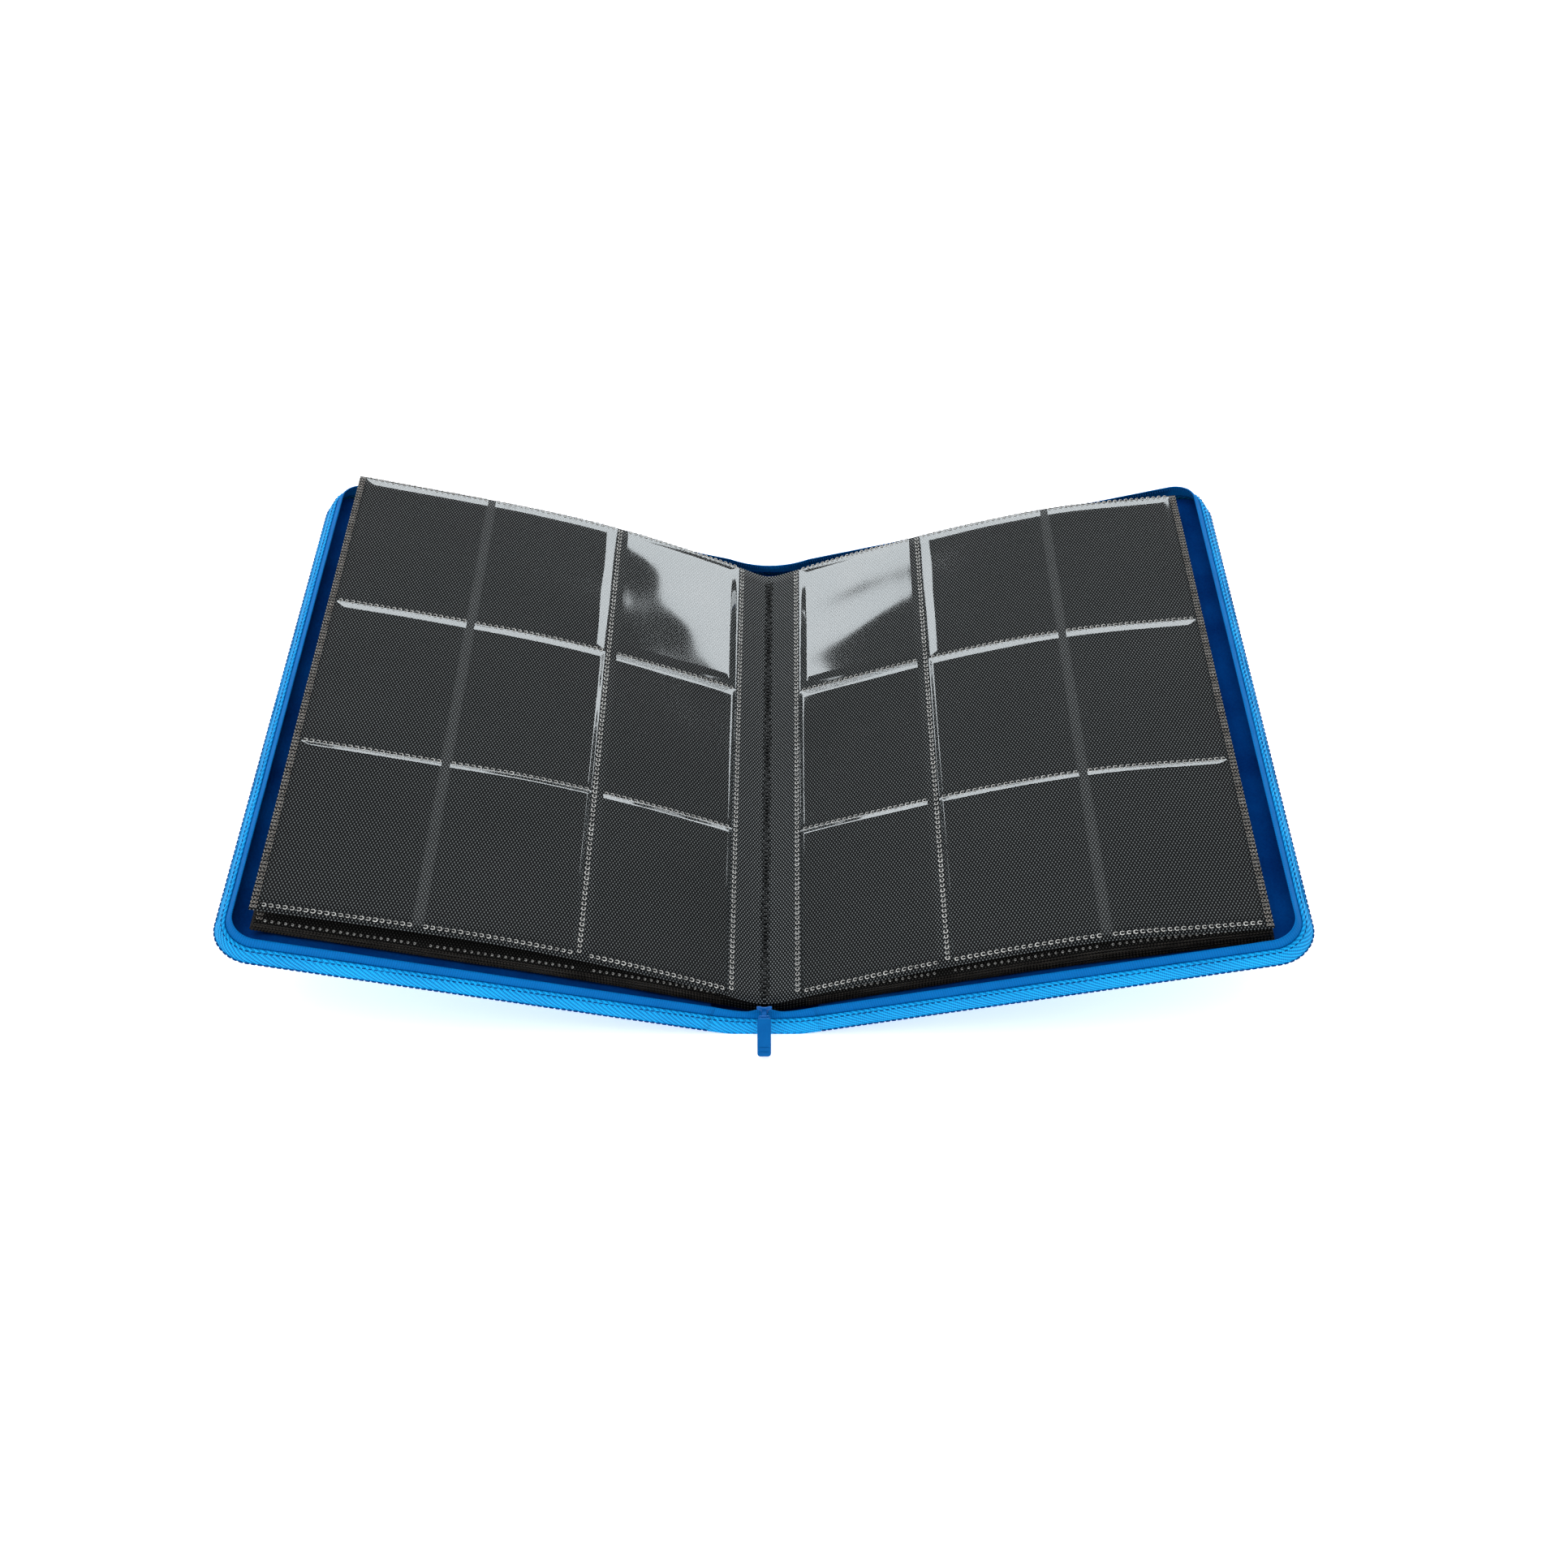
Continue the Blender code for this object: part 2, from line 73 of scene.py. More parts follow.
back_axis = next(m for m in frame["record"]["mounts"] if m["name"] == "right_cover_back")["axis"]
TILT = math.atan2(abs(back_axis[0]), abs(back_axis[2]))
SIN, COS = math.sin(TILT), math.cos(TILT)
skin_low, skin_high = (np.array(corner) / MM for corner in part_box("cover_skin_r"))
SKIN_T = 1.0
EDGE_X, EDGE_Z = skin_low[0] + SKIN_T * SIN, skin_low[2]
LENGTH = skin_high[1] - skin_low[1]
DEPTH = (skin_high[0] - EDGE_X) / COS
CORNER_R = 18.0
RIM_N = 16.2
LEAN_END, LEAN_SIDE = 1.5, 6.0
LEAF_Y = tuple(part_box("leaf_l10")[k][1] / MM for k in (0, 1))
TOP_X0 = -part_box("leaf_l10")[1][0] / MM
BLOCK_X0 = -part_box("leaf_l05")[1][0] / MM
TOP_X1 = {side: max(abs(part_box(f"leaf_{tag}10")[k][0] / MM) for k in (0, 1)) for side, tag, _ in SIDES}
TAB_PIVOT = np.array(next(j for j in frame["joints"] if j["name"] == "pull_tab_hinge")["pos_m"]) / MM


def cover_point(side, s, y, n):
    """A cover's (s outwards, y, n off its underside) in the row frame."""
    s, y, n = np.broadcast_arrays(np.asarray(s, float), y, n)
    return np.stack([side * (EDGE_X + s * COS - n * SIN), y, EDGE_Z + s * SIN + n * COS], -1)


def cover_normal(side):
    return np.array([-side * SIN, 0.0, COS])


def leaf_height(node):
    """The height of a CAD leaf's upper surface at each distance from the middle."""
    obj = frame["nodes"][node]
    side = -1 if obj.data.vertices[0].co.x < 0 else 1
    low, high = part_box(node)
    first, last = sorted((abs(low.x) / MM, abs(high.x) / MM))
    xs = np.linspace(first + 0.05, last - 0.05, 120)
    zs = []
    for x in xs:
        hit, place, _, _ = obj.ray_cast(Vector((side * x * MM, 0.0, 1.0)), Vector((0, 0, -1)))
        zs.append(place.z / MM if hit else np.nan)
    zs = np.array(zs)
    good = ~np.isnan(zs)
    slope = (zs[good][-1] - zs[good][-4]) / (xs[good][-1] - xs[good][-4])
    return lambda x: np.interp(x, xs[good], zs[good]) + np.maximum(x - xs[good][-1], 0) * slope


# Meshes


def build(name, points, faces, material, flat=None, smooth=True):
    mesh = bpy.data.meshes.new(name)
    mesh.from_pydata((np.asarray(points, float).reshape(-1, 3) * MM).tolist(), [], faces)
    mesh.update()
    if flat is not None:
        layer = mesh.attributes.new("flat_mm", "FLOAT_VECTOR", "POINT")
        layer.data.foreach_set("vector", np.asarray(flat, np.float32).ravel())
    mesh.polygons.foreach_set("use_smooth", [smooth] * len(mesh.polygons))
    mesh.materials.append(material)
    obj = bpy.data.objects.new(name, mesh)
    bpy.context.scene.collection.objects.link(obj)
    return obj


def quads(rows, cols, closed=False):
    index = np.arange(rows * cols).reshape(rows, cols)
    here, after = (index, np.roll(index, -1, 1)) if closed else (index[:, :-1], index[:, 1:])
    return np.stack([here[:-1], after[:-1], after[1:], here[1:]], -1).reshape(-1, 4)


def grid(name, points, material, outward, thickness=0.0, flat=None, along=1):
    """A sheet through rows of points, facing outward, with its arc lengths kept for the weave.

    along is -1 where the rows run against the weave, as they do on the left.
    """
    points = np.asarray(points, float)
    rows, cols = points.shape[:2]
    if flat is None:
        steps = np.linalg.norm(np.diff(points[rows // 2], axis=0), axis=1)
        rises = np.linalg.norm(np.diff(points[:, cols // 2], axis=0), axis=1)
        u = along * np.concatenate([[0], np.cumsum(steps)])
        v = np.concatenate([[0], np.cumsum(rises)])
        flat = np.stack([*np.meshgrid(u, v), np.zeros((rows, cols))], -1)
    faces = quads(rows, cols)
    corners = points.reshape(-1, 3)[faces]
    normals = np.cross(corners[:, 2] - corners[:, 0], corners[:, 3] - corners[:, 1])
    wanted = outward(corners.mean(1)) if callable(outward) else np.asarray(outward, float)
    if (normals * wanted).sum() < 0:
        faces = faces[:, ::-1]
    obj = build(name, points, faces.tolist(), material, flat)
    if thickness:
        solid = obj.modifiers.new("thickness", "SOLIDIFY")
        solid.thickness = thickness * MM
        solid.offset = -1.0
    return obj


def scatter(name, shape, places, along, normals, material, scale=None):
    """Copies of a small shape, each turned to a line's direction and a surface's normal, as one mesh."""
    points, faces = shape
    along = along / np.linalg.norm(along, axis=1, keepdims=True)
    across = np.cross(normals, along)
    across /= np.linalg.norm(across, axis=1, keepdims=True)
    up = np.cross(along, across)
    size = np.ones(len(places)) if scale is None else scale
    turned = (
        points[None, :, 0:1] * along[:, None]
        + points[None, :, 1:2] * across[:, None]
        + points[None, :, 2:3] * up[:, None]
    ) * size[:, None, None]
    moved = places[:, None] + turned
    listed = []
    for k in range(len(places)):
        listed += [[v + k * len(points) for v in face] for face in faces]
    return build(name, moved, listed, material)


def tube_shape(line, radius, sides=5, ends=0.45):
    """A short closed tube along a line of points in its own plane."""
    line = np.asarray(line, float)
    ahead = np.gradient(line, axis=0)
    ahead /= np.linalg.norm(ahead, axis=1, keepdims=True)
    up = np.array([0.0, 0.0, 1.0])
    aside = np.cross(up, ahead)
    turn = np.linspace(0, 2 * math.pi, sides, endpoint=False)
    r = np.full(len(line), radius)
    r[[0, -1]] *= ends
    ring = np.cos(turn)[None, :, None] * aside[:, None] + np.sin(turn)[None, :, None] * up
    points = (line[:, None] + ring * r[:, None, None]).reshape(-1, 3)
    faces = quads(len(line), sides, closed=True).tolist()
    faces.append(list(range(sides)))
    faces.append([len(points) - 1 - k for k in range(sides)])
    return points, [face[::-1] for face in faces]


def stitch_shape(length, radius):
    xs = np.array([-0.5, -0.3, 0.3, 0.5]) * length
    lift = np.array([-0.6, 0.35, 0.35, -0.6]) * radius
    return tube_shape(np.stack([xs, np.zeros(4), lift], -1), radius)


def hook_shape(radius, wire):
    turn = np.radians(np.linspace(25, 335, 9))
    return tube_shape(np.stack([radius * np.cos(turn), radius * np.sin(turn), 0 * turn], -1), wire, sides=4)


def tooth_shape():
    return tube_shape([(0, -0.7, 0.1), (0, -0.3, 0.2), (0, 0.3, 0.1), (0, 0.65, -0.3)], 0.46, sides=6)


def resample(line, step):
    """Points every step along a line, half a step in from its ends, with the direction there."""
    line = np.asarray(line, float)
    length = np.concatenate([[0], np.cumsum(np.linalg.norm(np.diff(line, axis=0), axis=1))])
    count = max(int(length[-1] / step), 1)
    at = (np.arange(count) + 0.5) * length[-1] / count

    def pick(t):
        return np.stack([np.interp(t, length, line[:, k]) for k in range(3)], -1)

    return pick(at), pick(at + 0.05 * step) - pick(at - 0.05 * step)


def strung(name, shape, line, step, normals, material):
    """Copies of a shape every step along a line. normals is one direction, or gives one at each place."""
    places, along = resample(line, step)
    facing = normals(places) if callable(normals) else np.tile(np.asarray(normals, float), (len(places), 1))
    return scatter(name, shape, places, along, facing, material)


def waves(x, y, scales, seed):
    """Smooth wandering between about -1 and 1, the same on every run."""
    turn = np.random.default_rng(seed)
    total = 0.0
    for scale in scales:
        for _ in range(3):
            a, phase = turn.uniform(0, 2 * math.pi, 2)
            total = total + np.sin((x * math.cos(a) + y * math.sin(a)) * 2 * math.pi / scale + phase)
    return total / (3 * len(scales)) ** 0.5 / 1.2


def ease(t):
    t = np.clip(t, 0, 1)
    return t * t * (3 - 2 * t)


# Materials


def node(tree, kind, *values, **settings):
    made = tree.nodes.new("ShaderNode" + kind)
    for key, value in settings.items():
        setattr(made, key, value)
    for socket, value in zip(made.inputs, values):
        if isinstance(value, bpy.types.NodeSocket):
            tree.links.new(value, socket)
        elif value is not None:
            socket.default_value = value
    return made


def sums(tree, operation, *values, clamp=False):
    return node(tree, "Math", *values, operation=operation, use_clamp=clamp).outputs[0]


def mixed(tree, share, first, second):
    made = tree.nodes.new("ShaderNodeMix")
    made.data_type = "RGBA"
    for k, value in ((0, share), (6, first), (7, second)):
        if isinstance(value, bpy.types.NodeSocket):
            tree.links.new(value, made.inputs[k])
        else:
            made.inputs[k].default_value = value if k == 0 else (*value, 1.0)
    return made.outputs[2]


def noise(tree, scale, detail, coords):
    made = node(tree, "TexNoise", coords)
    made.inputs["Scale"].default_value = scale
    made.inputs["Detail"].default_value = detail
    return made.outputs["Fac"]


def spread_out(tree, value, low, high):
    return node(tree, "MapRange", value, low, high, 0.0, 1.0).outputs[0]


def finish_material(name, roughness, paint, **settings):
    """A Principled material. paint(tree, coordinates) gives its colour, roughness and height sockets."""
    made = bpy.data.materials.new(name)
    made.use_nodes = True
    tree = made.node_tree
    shader = tree.nodes["Principled BSDF"]
    shader.inputs["Roughness"].default_value = roughness
    for key, value in settings.items():
        shader.inputs[key.replace("_", " ")].default_value = value
    own = node(tree, "TexCoord").outputs["Object"]
    colour, rough, height, depth = paint(tree, own)
    tree.links.new(colour, shader.inputs["Base Color"])
    if rough is not None:
        tree.links.new(rough, shader.inputs["Roughness"])
    if height is not None:
        bump = node(tree, "Bump", 0.8, depth * MM)
        tree.links.new(height, bump.inputs["Height"])
        tree.links.new(bump.outputs[0], shader.inputs["Normal"])
    return made


def flat_coords(tree):
    attribute = node(tree, "Attribute", attribute_name="flat_mm")
    parts = node(tree, "SeparateXYZ", attribute.outputs["Vector"])
    return attribute.outputs["Vector"], parts.outputs[0], parts.outputs[1]


def ripple(tree, distance, pitch):
    """From 0 to 1 and back once in each pitch."""
    turned = sums(tree, "MULTIPLY", distance, 2 * math.pi / pitch)
    return sums(tree, "MULTIPLY_ADD", sums(tree, "SINE", turned), 0.5, 0.5)


def twill(bright, dark, pitch, slant, cross):
    """Diagonal ribs of small yarns."""

    def paint(tree, own):
        flat, u, v = flat_coords(tree)
        rise, run = math.sin(slant), math.cos(slant)
        aside = sums(tree, "ADD", sums(tree, "MULTIPLY", u, rise), sums(tree, "MULTIPLY", v, run))
        ahead = sums(tree, "ADD", sums(tree, "MULTIPLY", u, run), sums(tree, "MULTIPLY", v, -rise))
        wobble = sums(tree, "MULTIPLY", noise(tree, 0.35, 2.0, flat), 0.5)
        rib = ripple(tree, sums(tree, "ADD", aside, wobble), pitch)
        yarn = ripple(tree, sums(tree, "ADD", ahead, sums(tree, "MULTIPLY", aside, 0.5)), cross)
        height = sums(tree, "ADD", sums(tree, "MULTIPLY", rib, 0.7), sums(tree, "MULTIPLY", yarn, 0.3))
        worn = spread_out(tree, noise(tree, 26.0, 4.0, own), 0.3, 0.75)
        share = sums(tree, "MULTIPLY_ADD", worn, 0.25, sums(tree, "MULTIPLY", height, 0.85), clamp=True)
        colour = mixed(tree, share, dark, bright)
        rough = sums(tree, "MULTIPLY_ADD", height, -0.15, 0.8)
        return colour, rough, height, 0.22

    return paint


def nap(bright, dark):
    """Short velvet pile with brushed patches."""

    def paint(tree, own):
        patch = spread_out(tree, noise(tree, 34.0, 4.0, own), 0.35, 0.7)
        pile = noise(tree, 900.0, 3.0, own)
        share = sums(tree, "MULTIPLY_ADD", pile, 0.45, sums(tree, "MULTIPLY", patch, 0.5), clamp=True)
        return mixed(tree, share, dark, bright), None, pile, 0.3

    return paint


def dotted(light, dark, pitch, row_pitch, share_of_dots):
    """A sheet embossed with staggered rows of small dots."""

    def paint(tree, own):
        _, u, v = flat_coords(tree)
        aslant = sums(tree, "MULTIPLY", v, pitch / (2 * row_pitch))
        a = ripple(tree, sums(tree, "ADD", u, aslant), pitch)
        b = ripple(tree, sums(tree, "SUBTRACT", u, aslant), pitch)
        edge = 1 - share_of_dots
        dot = spread_out(tree, sums(tree, "MULTIPLY", a, b), edge - 0.3, edge + 0.2)
        cloudy = noise(tree, 11.0, 3.0, own)
        grain = noise(tree, 700.0, 2.0, own)
        shade = sums(tree, "MULTIPLY_ADD", cloudy, 0.35, sums(tree, "MULTIPLY", grain, 0.3))
        lit = sums(tree, "MULTIPLY", dot, sums(tree, "ADD", shade, 0.6), clamp=True)
        rough = sums(tree, "MULTIPLY_ADD", dot, -0.2, 0.7)
        return mixed(tree, lit, dark, light), rough, dot, 0.1

    return paint


def mottled(bright, dark, scale):
    """Moulded or enamelled surface with faint mottling and fine scuffs."""

    def paint(tree, own):
        patch = spread_out(tree, noise(tree, scale, 4.0, own), 0.3, 0.7)
        fine = noise(tree, scale * 14, 3.0, own)
        share = sums(tree, "MULTIPLY_ADD", fine, 0.4, sums(tree, "MULTIPLY", patch, 0.6), clamp=True)
        rough = sums(tree, "MULTIPLY_ADD", patch, 0.2, 0.35)
        return mixed(tree, share, dark, bright), rough, fine, 0.05

    return paint


def ribbed(bright, dark, pitch):
    """Fine ribs across a woven strip."""

    def paint(tree, own):
        _, u, v = flat_coords(tree)
        rib = ripple(tree, u, pitch)
        weft = ripple(tree, v, pitch * 0.8)
        height = sums(tree, "MULTIPLY_ADD", weft, 0.35, sums(tree, "MULTIPLY", rib, 0.65))
        patch = noise(tree, 40.0, 3.0, own)
        share = sums(tree, "MULTIPLY_ADD", patch, 0.5, sums(tree, "MULTIPLY", height, 0.5), clamp=True)
        return mixed(tree, share, dark, bright), None, height, 0.12

    return paint


TWILL = finish_material(
    "case_twill", 0.85, twill((0.006, 0.45, 0.95), (0.0, 0.09, 0.33), 1.95, math.radians(40), 1.0),
    Specular_IOR_Level=0.12,
)
TAPE = finish_material(
    "zip_tape_weave", 0.85, ribbed((0.0, 0.18, 0.54), (0.0, 0.07, 0.27), 1.1), Specular_IOR_Level=0.1
)
VELVET = finish_material("velvet", 1.0, nap((0.0, 0.075, 0.34), (0.0, 0.018, 0.13)), Specular_IOR_Level=0.05)
COIL = finish_material(
    "coil_nylon", 0.5, mottled((0.001, 0.10, 0.36), (0.0, 0.05, 0.22), 90.0), Specular_IOR_Level=0.2
)
THREAD = finish_material(
    "blue_thread", 0.8, mottled((0.001, 0.07, 0.28), (0.0, 0.025, 0.13), 300.0), Specular_IOR_Level=0.1
)
SHEET = finish_material(
    "leaf_dots", 0.65, dotted((0.19, 0.211, 0.218), (0.003, 0.0035, 0.004), 1.6, 1.35, 0.42),
    Specular_IOR_Level=0.12,
)
GUTTER = finish_material(
    "gutter_dots", 0.65, dotted((0.21, 0.23, 0.24), (0.004, 0.005, 0.0055), 1.6, 1.25, 0.42),
    Specular_IOR_Level=0.12,
)
# Painted shade: the same dotted page as the top leaf, painted darker for the shade over the leaves below it and
# over their sewn margins
SHADED_LOWER_LEAF = finish_material(
    "lower_leaf", 0.7, dotted((0.05, 0.052, 0.05), (0.004, 0.004, 0.004), 1.5, 1.3, 0.4),
    Specular_IOR_Level=0.1,
)
EDGES = finish_material(
    "leaf_edges", 0.7, mottled((0.05, 0.045, 0.040), (0.008, 0.0075, 0.007), 160.0), Specular_IOR_Level=0.15
)
HOOKS = finish_material(
    "weld_hooks", 0.35, mottled((0.78, 0.79, 0.77), (0.30, 0.30, 0.29), 220.0), Specular_IOR_Level=0.5
)
BANDS = finish_material("edge_weld", 0.45, mottled((0.36, 0.335, 0.31), (0.07, 0.066, 0.06), 200.0))
BLACK_THREAD = finish_material(
    "black_thread", 0.65, mottled((0.035, 0.038, 0.04), (0.004, 0.005, 0.005), 320.0), Specular_IOR_Level=0.2
)
CLOTH = finish_material("binding_weave", 0.85, mottled((0.02, 0.022, 0.024), (0.006, 0.006, 0.007), 200.0))
BOARD = finish_material("greyboard", 0.9, mottled((0.32, 0.26, 0.2), (0.24, 0.19, 0.14), 120.0))
ENAMEL = finish_material(
    "slider_enamel", 0.5, mottled((0.001, 0.14, 0.48), (0.0, 0.06, 0.26), 240.0), Specular_IOR_Level=0.25
)
TAB = finish_material(
    "tab_plastic", 0.6, mottled((0.001, 0.125, 0.40), (0.0, 0.085, 0.31), 80.0), Specular_IOR_Level=0.1
)


def film_material():
    """Clear film: it shows what is under it, and mirrors a little of the studio."""

    def paint(tree, own):
        haze = noise(tree, 24.0, 2.0, own)
        return mixed(tree, haze, (0.80, 0.88, 0.92), (0.92, 0.97, 1.0)), None, None, 0

    made = finish_material("clear_film", 0.06, paint, Metallic=1.0, Alpha=0.17)
    made.surface_render_method = "BLENDED"
    return made


def haze_material():
    """Film welded flat to the page, a little paler than the page beside it."""

    def paint(tree, own):
        return mixed(tree, noise(tree, 18.0, 2.0, own), (0.30, 0.32, 0.33), (0.46, 0.48, 0.49)), None, None, 0

    made = finish_material("welded_film", 0.6, paint, Alpha=0.035, Specular_IOR_Level=0.1)
    made.surface_render_method = "BLENDED"
    return made


FILM = film_material()
HAZE = haze_material()


def place(obj, slot, body=None, bend=None, stands_for=()):
    """Rides the piece on its body, or bakes its place into its mesh for a piece that runs from the spine to a
    cover, and hides the parts that it stands for.
    """
    if stands_for:
        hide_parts(*stands_for)
    if bend:
        side, cover, near, far = bend
        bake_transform(obj)
    else:
        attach(obj, body)
    return obj


# Covers

STRAIGHT_STEPS, ARC_STEPS, LONG_STEPS = 40, 14, 54
WALL_MIDDLE_N = 8.0
WALL_T, TAPE_T = 0.6, 0.5
WALL_WRINKLE, TAPE_WRINKLE = 0.16, 0.1
# The profiles' points are an inset from the wall's leaning face, and a height off the cover's underside
WALL_PROFILE = (
    (-0.1, 0.75), (0.0, 1.2), (-0.22, 2.4), (-0.42, 4.0), (-0.5, 5.6), (-0.42, 7.2), (-0.2, 8.6),
    (0.0, 9.6), (0.18, 10.15), (0.55, 10.4), (1.0, 10.3), (1.3, 9.9),
)
TAPE_PROFILE = (
    (1.55, 7.1), (1.5, 8.2), (1.42, 9.4), (1.34, 10.8), (1.3, 12.2), (1.32, 13.5), (1.42, 14.5),
    (1.62, 15.15), (1.9, 15.45), (2.2, 15.4), (2.45, 15.0),
)
BACK_RINGS = (  # inset from the cover's edge, and height off its underside
    (0.9, 1.15), (0.2, 1.0), (0.0, 0.6), (0.2, 0.15), (0.9, 0.0), (2.4, -0.05), (3.4, 0.0), (5.0, -0.3),
    (9.0, -0.55), (18.0, -0.7), (40.0, -0.75), (70.0, -0.75), (108.0, -0.75), (134.0, -0.75),
    (LENGTH / 2, -0.75),
)
HEM_INSET, HEM_N, HEM_STEP = -0.18, 9.2, 2.7
# The base seam is a real seam. Its thick dark thread, low at the wall's foot, also stands in as painted shade
# along the wall's lower edge
BASE_INSET, BASE_N, BASE_STEP = -0.05, 0.75, 2.8
BACK_SEAM_INSET, BACK_SEAM_N, BACK_STEP = 3.0, -0.12, 3.0
# A stitch is its length and its thread's radius
HEM_STITCH, BASE_STITCH, BACK_STITCH = (1.9, 0.26), (2.7, 0.42), (2.0, 0.3)
TEETH_INSET, TEETH_N = 2.3, 13.6
TOOTH_PITCH = 1.35
LINING_N = 3.9
LINING_GAP = 1.2  # between the turned-up lining and the lowest leaf
LINING_TOP = (6.5, 12.2)  # the least and the most height that it turns up to
LINING_RINGS = (  # insets from the ends and from the fore-edge
    (3.2, 1.1), (4.0, 2.2), (5.2, 3.4), (6.8, 5.0), (8.6, 7.0), (11.0, 10.0), (14.0, 14.0), (18.0, 18.0),
    (24.0, 24.0), (34.0, 34.0), (55.0, 55.0), (80.0, 80.0), (108.0, 108.0), (134.0, 134.0),
    (LENGTH / 2, LENGTH / 2),
)


def three_sides(inner, end_inset, side_inset):
    """Tail edge, fore-edge and head edge of a cover as (s, y) points with rounded corners."""
    half, outer = LENGTH / 2 - end_inset, DEPTH - side_inset
    r = min(max(CORNER_R - (end_inset + side_inset) / 2, 1.0), half)
    first = np.linspace(inner, outer - r, STRAIGHT_STEPS, endpoint=False)
    turn = np.linspace(0, math.pi / 2, ARC_STEPS)
    middle = np.linspace(-half + r, half - r, LONG_STEPS)[1:-1]
    s = [first, outer - r + r * np.sin(turn), np.full(len(middle), outer)]
    y = [np.full(STRAIGHT_STEPS, -half), -half + r - r * np.cos(turn), middle]
    s += [outer - r + r * np.cos(turn), first[::-1]]
    y += [half - r + r * np.sin(turn), np.full(STRAIGHT_STEPS, half)]
    return np.concatenate(s), np.concatenate(y)


def wall_line(side, extra, n):
    """A line round a cover's wall at height n, set in by extra from its leaning face."""
    lean = n / RIM_N
    s, y = three_sides(0.0, LEAN_END * lean + extra, LEAN_SIDE * lean + extra)
    return cover_point(side, s, y, n)


def outward_of_wall(side):
    middle = cover_point(side, DEPTH / 2, 0.0, WALL_MIDDLE_N)
    return lambda p: p - middle


def wrinkled(points, amount, seed, outward):
    """The wall pushed in and out a little, as cloth that is pulled round a curve."""
    along = np.concatenate([[0], np.cumsum(np.linalg.norm(np.diff(points[0], axis=0), axis=1))])
    wave = waves(along, 0 * along, (9.0, 23.0, 61.0), seed)
    share = np.sin(np.linspace(0, math.pi, len(points)))[:, None, None]
    direction = outward(points)
    direction = direction / np.linalg.norm(direction, axis=-1, keepdims=True)
    return points + direction * share * wave[None, :, None] * amount


def turned_up(tag, s, y):
    """How far the lining turns up along the tail, to just under the lowest leaf.

    It is flat again further in, and before the fore-edge.
    """
    x = EDGE_X + s * COS - LINING_N * SIN
    level = (leaf_height(f"leaf_{tag}01")(x) - EDGE_Z - (x - EDGE_X) * SIN / COS) * COS
    full = np.clip(level - LINING_GAP, *LINING_TOP) - LINING_N
    return full * (1 - ease((y + LENGTH / 2 - 8.0) / 14.0)) * (1 - ease((s - DEPTH + 26.0) / 18.0))


def case_wall(side, tag, body):
    """The wall round a cover and the zip tape above it, with their stitches and zip teeth."""
    outward = outward_of_wall(side)
    rows = np.array([wall_line(side, inset, n) for inset, n in WALL_PROFILE])
    rows = wrinkled(rows, WALL_WRINKLE, 11 + side, outward)
    wall = grid(f"case_wall_{tag}", rows, TWILL, outward, WALL_T, along=side)
    rows = np.array([wall_line(side, inset, n) for inset, n in TAPE_PROFILE])
    rows = wrinkled(rows, TAPE_WRINKLE, 31 + side, outward)
    tape = grid(f"tape_edge_{tag}", rows, TAPE, outward, TAPE_T)
    place(wall, "case_fabric", body, stands_for=(f"gusset_wall_{tag}",))
    place(tape, "zip_tape", body, stands_for=(f"zip_tape_{tag}",))

    for name, inset, n, step, stitch in (
        ("hem", HEM_INSET, HEM_N, HEM_STEP, HEM_STITCH), ("base", BASE_INSET, BASE_N, BASE_STEP, BASE_STITCH),
    ):
        line = wall_line(side, inset, n)
        made = strung(f"{name}_stitches_{tag}", stitch_shape(*stitch), line, step, outward, THREAD)
        place(made, "seam_thread", body)

    line = wall_line(side, TEETH_INSET, TEETH_N)
    teeth = strung(f"zip_teeth_{tag}", tooth_shape(), line, TOOTH_PITCH, cover_normal(side), COIL)
    place(teeth, "zip_coil", body, stands_for=(f"zip_coil_{tag}",))


def boarded_back(side, tag, body):
    """A rim rolled round the board, and a face with a little padding under it."""
    below = -cover_normal(side)
    face = []
    for inset, n in BACK_RINGS:
        s, y = three_sides(0.0, inset, inset)
        face.append(cover_point(side, s, y, n))
    face = np.array(face)
    s = (face[..., 0] * side - EDGE_X) / COS
    padding = 0.12 * waves(s, face[..., 1], (35.0, 90.0), 5) * (s > 2)
    face = face + below * padding[..., None]
    flat = np.stack([s, face[..., 1], 0 * s], -1)
    shell = grid(f"cover_back_{tag}", face, TWILL, below, flat=flat)
    place(shell, "case_fabric", body, stands_for=(f"cover_skin_{tag}",))
    s, y = three_sides(0.0, BACK_SEAM_INSET, BACK_SEAM_INSET)
    line = cover_point(side, s, y, BACK_SEAM_N)
    stitches = strung(f"back_stitches_{tag}", stitch_shape(*BACK_STITCH), line, BACK_STEP, below, THREAD)
    place(stitches, "seam_thread", body)


def cover_lining(side, tag, body):
    """Velvet over the board, a little uneven where it is glued down, and turned up along the tail."""
    rows = []
    for end_inset, side_inset in LINING_RINGS:
        s, y = three_sides(0.6, end_inset, side_inset)
        lift = LINING_N + 0.22 * waves(s, y, (18.0, 47.0), 9 + side) + (0.9 if side_inset < 1.5 else 0)
        rows.append(cover_point(side, s, y, lift + turned_up(tag, s, y)))
    rows = np.array(rows)
    flat = np.stack([rows[..., 0], rows[..., 1], 0 * rows[..., 0]], -1)
    lining = grid(f"lining_{tag}", rows, VELVET, cover_normal(side), flat=flat)
    place(lining, "velvet_lining", body, stands_for=(f"cover_lining_{tag}",))


# Soft spine

